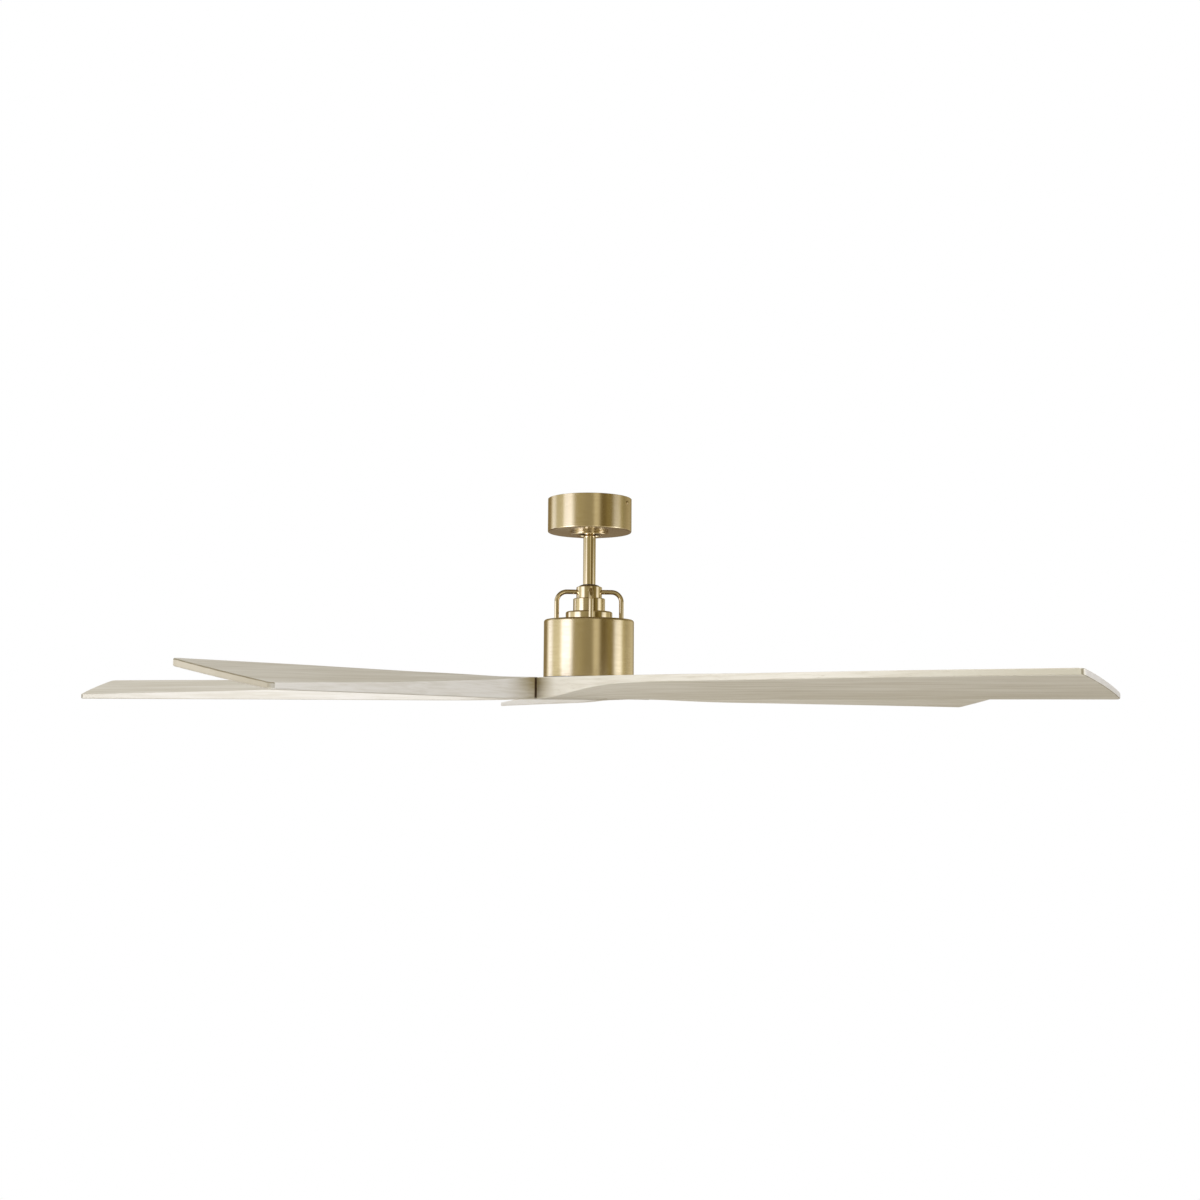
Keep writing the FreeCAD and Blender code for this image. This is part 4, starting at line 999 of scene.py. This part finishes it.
# The lamps that light the wood: the name of each, its place in degrees to the right of the camera's side, its
# height over the fan's middle and its size, both in metres, and its brightness
lamps = (
    ("front_fill", 0, 0.3, 3.0, 1.28),
    ("left_softbox", -60, 0.0, 2.5, 0.6),
    ("right_softbox", 40, 0.3, 2.5, 0.3),
)


def compass(degrees):
    """The level direction at an angle from the camera's side, to the right."""
    turn = math.radians(degrees)
    return Vector((math.sin(turn), -math.cos(turn), 0))


class FanStage(bpy.types.Operator):
    """Sets the floor, the studio's light and the camera."""

    bl_idname = "fan.stage"
    bl_label = "Studio"

    def execute(self, context):
        studio = context.scene.fan_studio
        context.scene.view_settings.view_transform = "Standard"
        self.lay_floor(context, studio)
        self.light_world(context, studio)
        for name, degrees, height, size, brightness in lamps:
            place = fan_middle + compass(degrees) * studio.lamp_distance + Vector((0, 0, height))
            self.hang_lamp(context, name, place, size, brightness)
        self.aim_camera(context, studio)
        return {"FINISHED"}

    def lay_floor(self, context, studio):
        """A pale floor that looks white to the camera and keeps its own shade for the rest."""
        half = studio.floor_size / 2
        level = -studio.floor_drop
        shape = bmesh.new()
        corners = ((-half, -half), (half, -half), (half, half), (-half, half))
        shape.faces.new([shape.verts.new((x, y, level)) for x, y in corners])
        bmesh.ops.subdivide_edges(shape, edges=shape.edges, cuts=8, use_grid_fill=True)
        mesh = bpy.data.meshes.new("studio_floor")
        shape.to_mesh(mesh)
        shape.free()
        floor = bpy.data.objects.new("studio_floor", mesh)
        context.scene.collection.objects.link(floor)
        material = bpy.data.materials.new("studio_floor")
        material.use_nodes = True
        shade = Shade(material.node_tree)
        cloud = shade.noise(shade.place(), scale=0.6)
        tint = shade.blend(cloud, studio.floor_tint, scaled(studio.floor_tint, 1.04))
        matt = shade.node("ShaderNodeBsdfDiffuse", {}, {"Color": tint})
        white = shade.node("ShaderNodeEmission", {}, {"Color": (1, 1, 1, 1), "Strength": 1.0})
        seen = shade.node("ShaderNodeLightPath", output="Is Camera Ray")
        both = shade.node("ShaderNodeMixShader", {}, {0: seen, 1: matt, 2: white})
        shade.node("ShaderNodeOutputMaterial", {}, {"Surface": both})
        mesh.materials.append(material)
        floor.visible_glossy = False

    def light_world(self, context, studio):
        """White for the camera, soft panels for what metal mirrors, and plain light for the rest."""
        world = bpy.data.worlds.new("studio")
        context.scene.world = world
        world.use_nodes = True
        shade = Shade(world.node_tree)
        x, y, z = shade.parts(shade.node("ShaderNodeTexCoord", output="Generated"))
        mirrored = self.mirrored_field(shade, x, y, z)
        level = studio.plain_light
        plain = (level, level, level)
        mirror_ray = shade.node("ShaderNodeLightPath", output="Is Glossy Ray")
        light = shade.blend(mirror_ray, plain, mirrored)
        camera_ray = shade.node("ShaderNodeLightPath", output="Is Camera Ray")
        seen = shade.blend(camera_ray, light, (1, 1, 1))
        backdrop = shade.node("ShaderNodeBackground", {}, {"Color": seen, "Strength": 1.0})
        shade.node("ShaderNodeOutputWorld", {}, {"Surface": backdrop})

    def mirrored_horizon(self, shade, x, y, rise):
        """The soft panels over the room. A rise of 0 gives their lower part and 1 their upper part."""
        around = shade.maths("ARCTAN2", x, -y) * (180 / math.pi)
        mirrored = mirrored_room
        for middle, half, soft, tint, low_share, high_share in mirrored_panels.values():
            aside = abs(shade.maths("WRAP", around - middle, 180.0, -180.0))
            inside = 1.0 - shade.between(aside, half - soft / 2, half + soft / 2)
            lit = inside * (low_share + (high_share - low_share) * rise)
            warmer = tuple(part * kept for part, kept in zip(tint, warmer_above))
            mirrored = shade.added(lit, mirrored, shade.blend(rise, tint, warmer))
        return mirrored

    def mirrored_field(self, shade, x, y, z):
        """What metal mirrors in a direction: the panels, and what lies below and above them."""
        mirrored = self.mirrored_horizon(shade, x, y, shade.between(z, 0.05, 0.16))
        facing = -y / reach_at(x, y)
        in_front = shade.between(facing, -0.5, 0.3)
        either_side = 1.0 - shade.between(facing, 0.95, 0.99)
        below = shade.between(-z, 0.06, 0.16)
        mirrored = shade.added(below * in_front * either_side, mirrored, mirrored)
        mirrored = shade.blend(below * (1.0 - in_front), mirrored, mirrored_low_back)
        near_floor = shade.between(-z, 0.35, 0.65) * in_front
        mirrored = shade.blend(near_floor, mirrored, mirrored_floor)
        mirrored = shade.blend(shade.between(-z, 0.8, 0.95), mirrored, mirrored_underfoot)
        high_front = shade.between(z, 0.2, 0.34) * shade.between(facing, 0.8, 0.95)
        mirrored = shade.blend(high_front, mirrored, mirrored_high_front)
        return shade.blend(shade.between(z, 0.4, 0.7), mirrored, mirrored_ceiling)

    def hang_lamp(self, context, name, place, size, brightness):
        """A square softbox that faces the fan and that metal doesn't mirror."""
        lamp = bpy.data.lights.new(name, "AREA")
        lamp.shape = "SQUARE"
        lamp.size = size
        lamp.energy = brightness * size * size * math.pi
        holder = bpy.data.objects.new(name, lamp)
        context.scene.collection.objects.link(holder)
        holder.location = place
        holder.rotation_mode = "QUATERNION"
        holder.rotation_quaternion = (fan_middle - place).to_track_quat("-Z", "Y")
        holder.visible_camera = False
        holder.visible_glossy = False

    def aim_camera(self, context, studio):
        """A camera just below the hub, tipped up a little."""
        camera = bpy.data.cameras.new("camera")
        camera.lens = studio.lens
        camera.sensor_width = studio.sensor
        camera.dof.use_dof = False
        holder = bpy.data.objects.new("camera", camera)
        context.scene.collection.objects.link(holder)
        yaw, pitch, roll = studio.yaw, studio.pitch, studio.roll
        ahead = Vector((math.sin(yaw) * math.cos(pitch), math.cos(yaw) * math.cos(pitch), math.sin(pitch)))
        right = Vector((math.cos(yaw), -math.sin(yaw), 0))
        above = right.cross(ahead)
        tilted_right = right * math.cos(roll) + above * math.sin(roll)
        tilted_up = above * math.cos(roll) - right * math.sin(roll)
        axes = Matrix((tilted_right, tilted_up, -ahead)).transposed()
        holder.matrix_world = Matrix.Translation((0, -studio.distance, -studio.drop)) @ axes.to_4x4()
        context.scene.camera = holder


steps = (FanCanopy, FanDownrod, FanCollar, FanGuardRods, FanHousing, FanBlades, FanHanger, FanMotor, FanStage)
groups = {"fan_sizes": FanSizes, "fan_finish": FanFinish, "fan_studio": FanStudio}


class FanPanel(bpy.types.Panel):
    """Lists the steps and the values behind them."""

    bl_idname = "VIEW3D_PT_fan"
    bl_label = "Ceiling Fan"
    bl_space_type = "VIEW_3D"
    bl_region_type = "UI"
    bl_category = "Ceiling Fan"

    def draw(self, context):
        for step in steps:
            self.layout.operator(step.bl_idname)
        for name, group in groups.items():
            box = self.layout.box()
            for value in group.__annotations__:
                box.prop(getattr(context.scene, name), value)


def register():
    for kind in (*groups.values(), *steps, FanPanel):
        bpy.utils.register_class(kind)
    for name, group in groups.items():
        setattr(bpy.types.Scene, name, PointerProperty(type=group))


def unregister():
    for name in groups:
        delattr(bpy.types.Scene, name)
    for kind in (FanPanel, *reversed(steps), *groups.values()):
        bpy.utils.unregister_class(kind)


def main():
    register()
    bpy.ops.fan.canopy()
    bpy.ops.fan.downrod()
    bpy.ops.fan.collar()
    bpy.ops.fan.guard_rods()
    bpy.ops.fan.housing()
    bpy.ops.fan.blades()
    bpy.ops.fan.hanger()
    bpy.ops.fan.motor()
    bpy.ops.fan.stage()


if __name__ == "__main__":
    main()
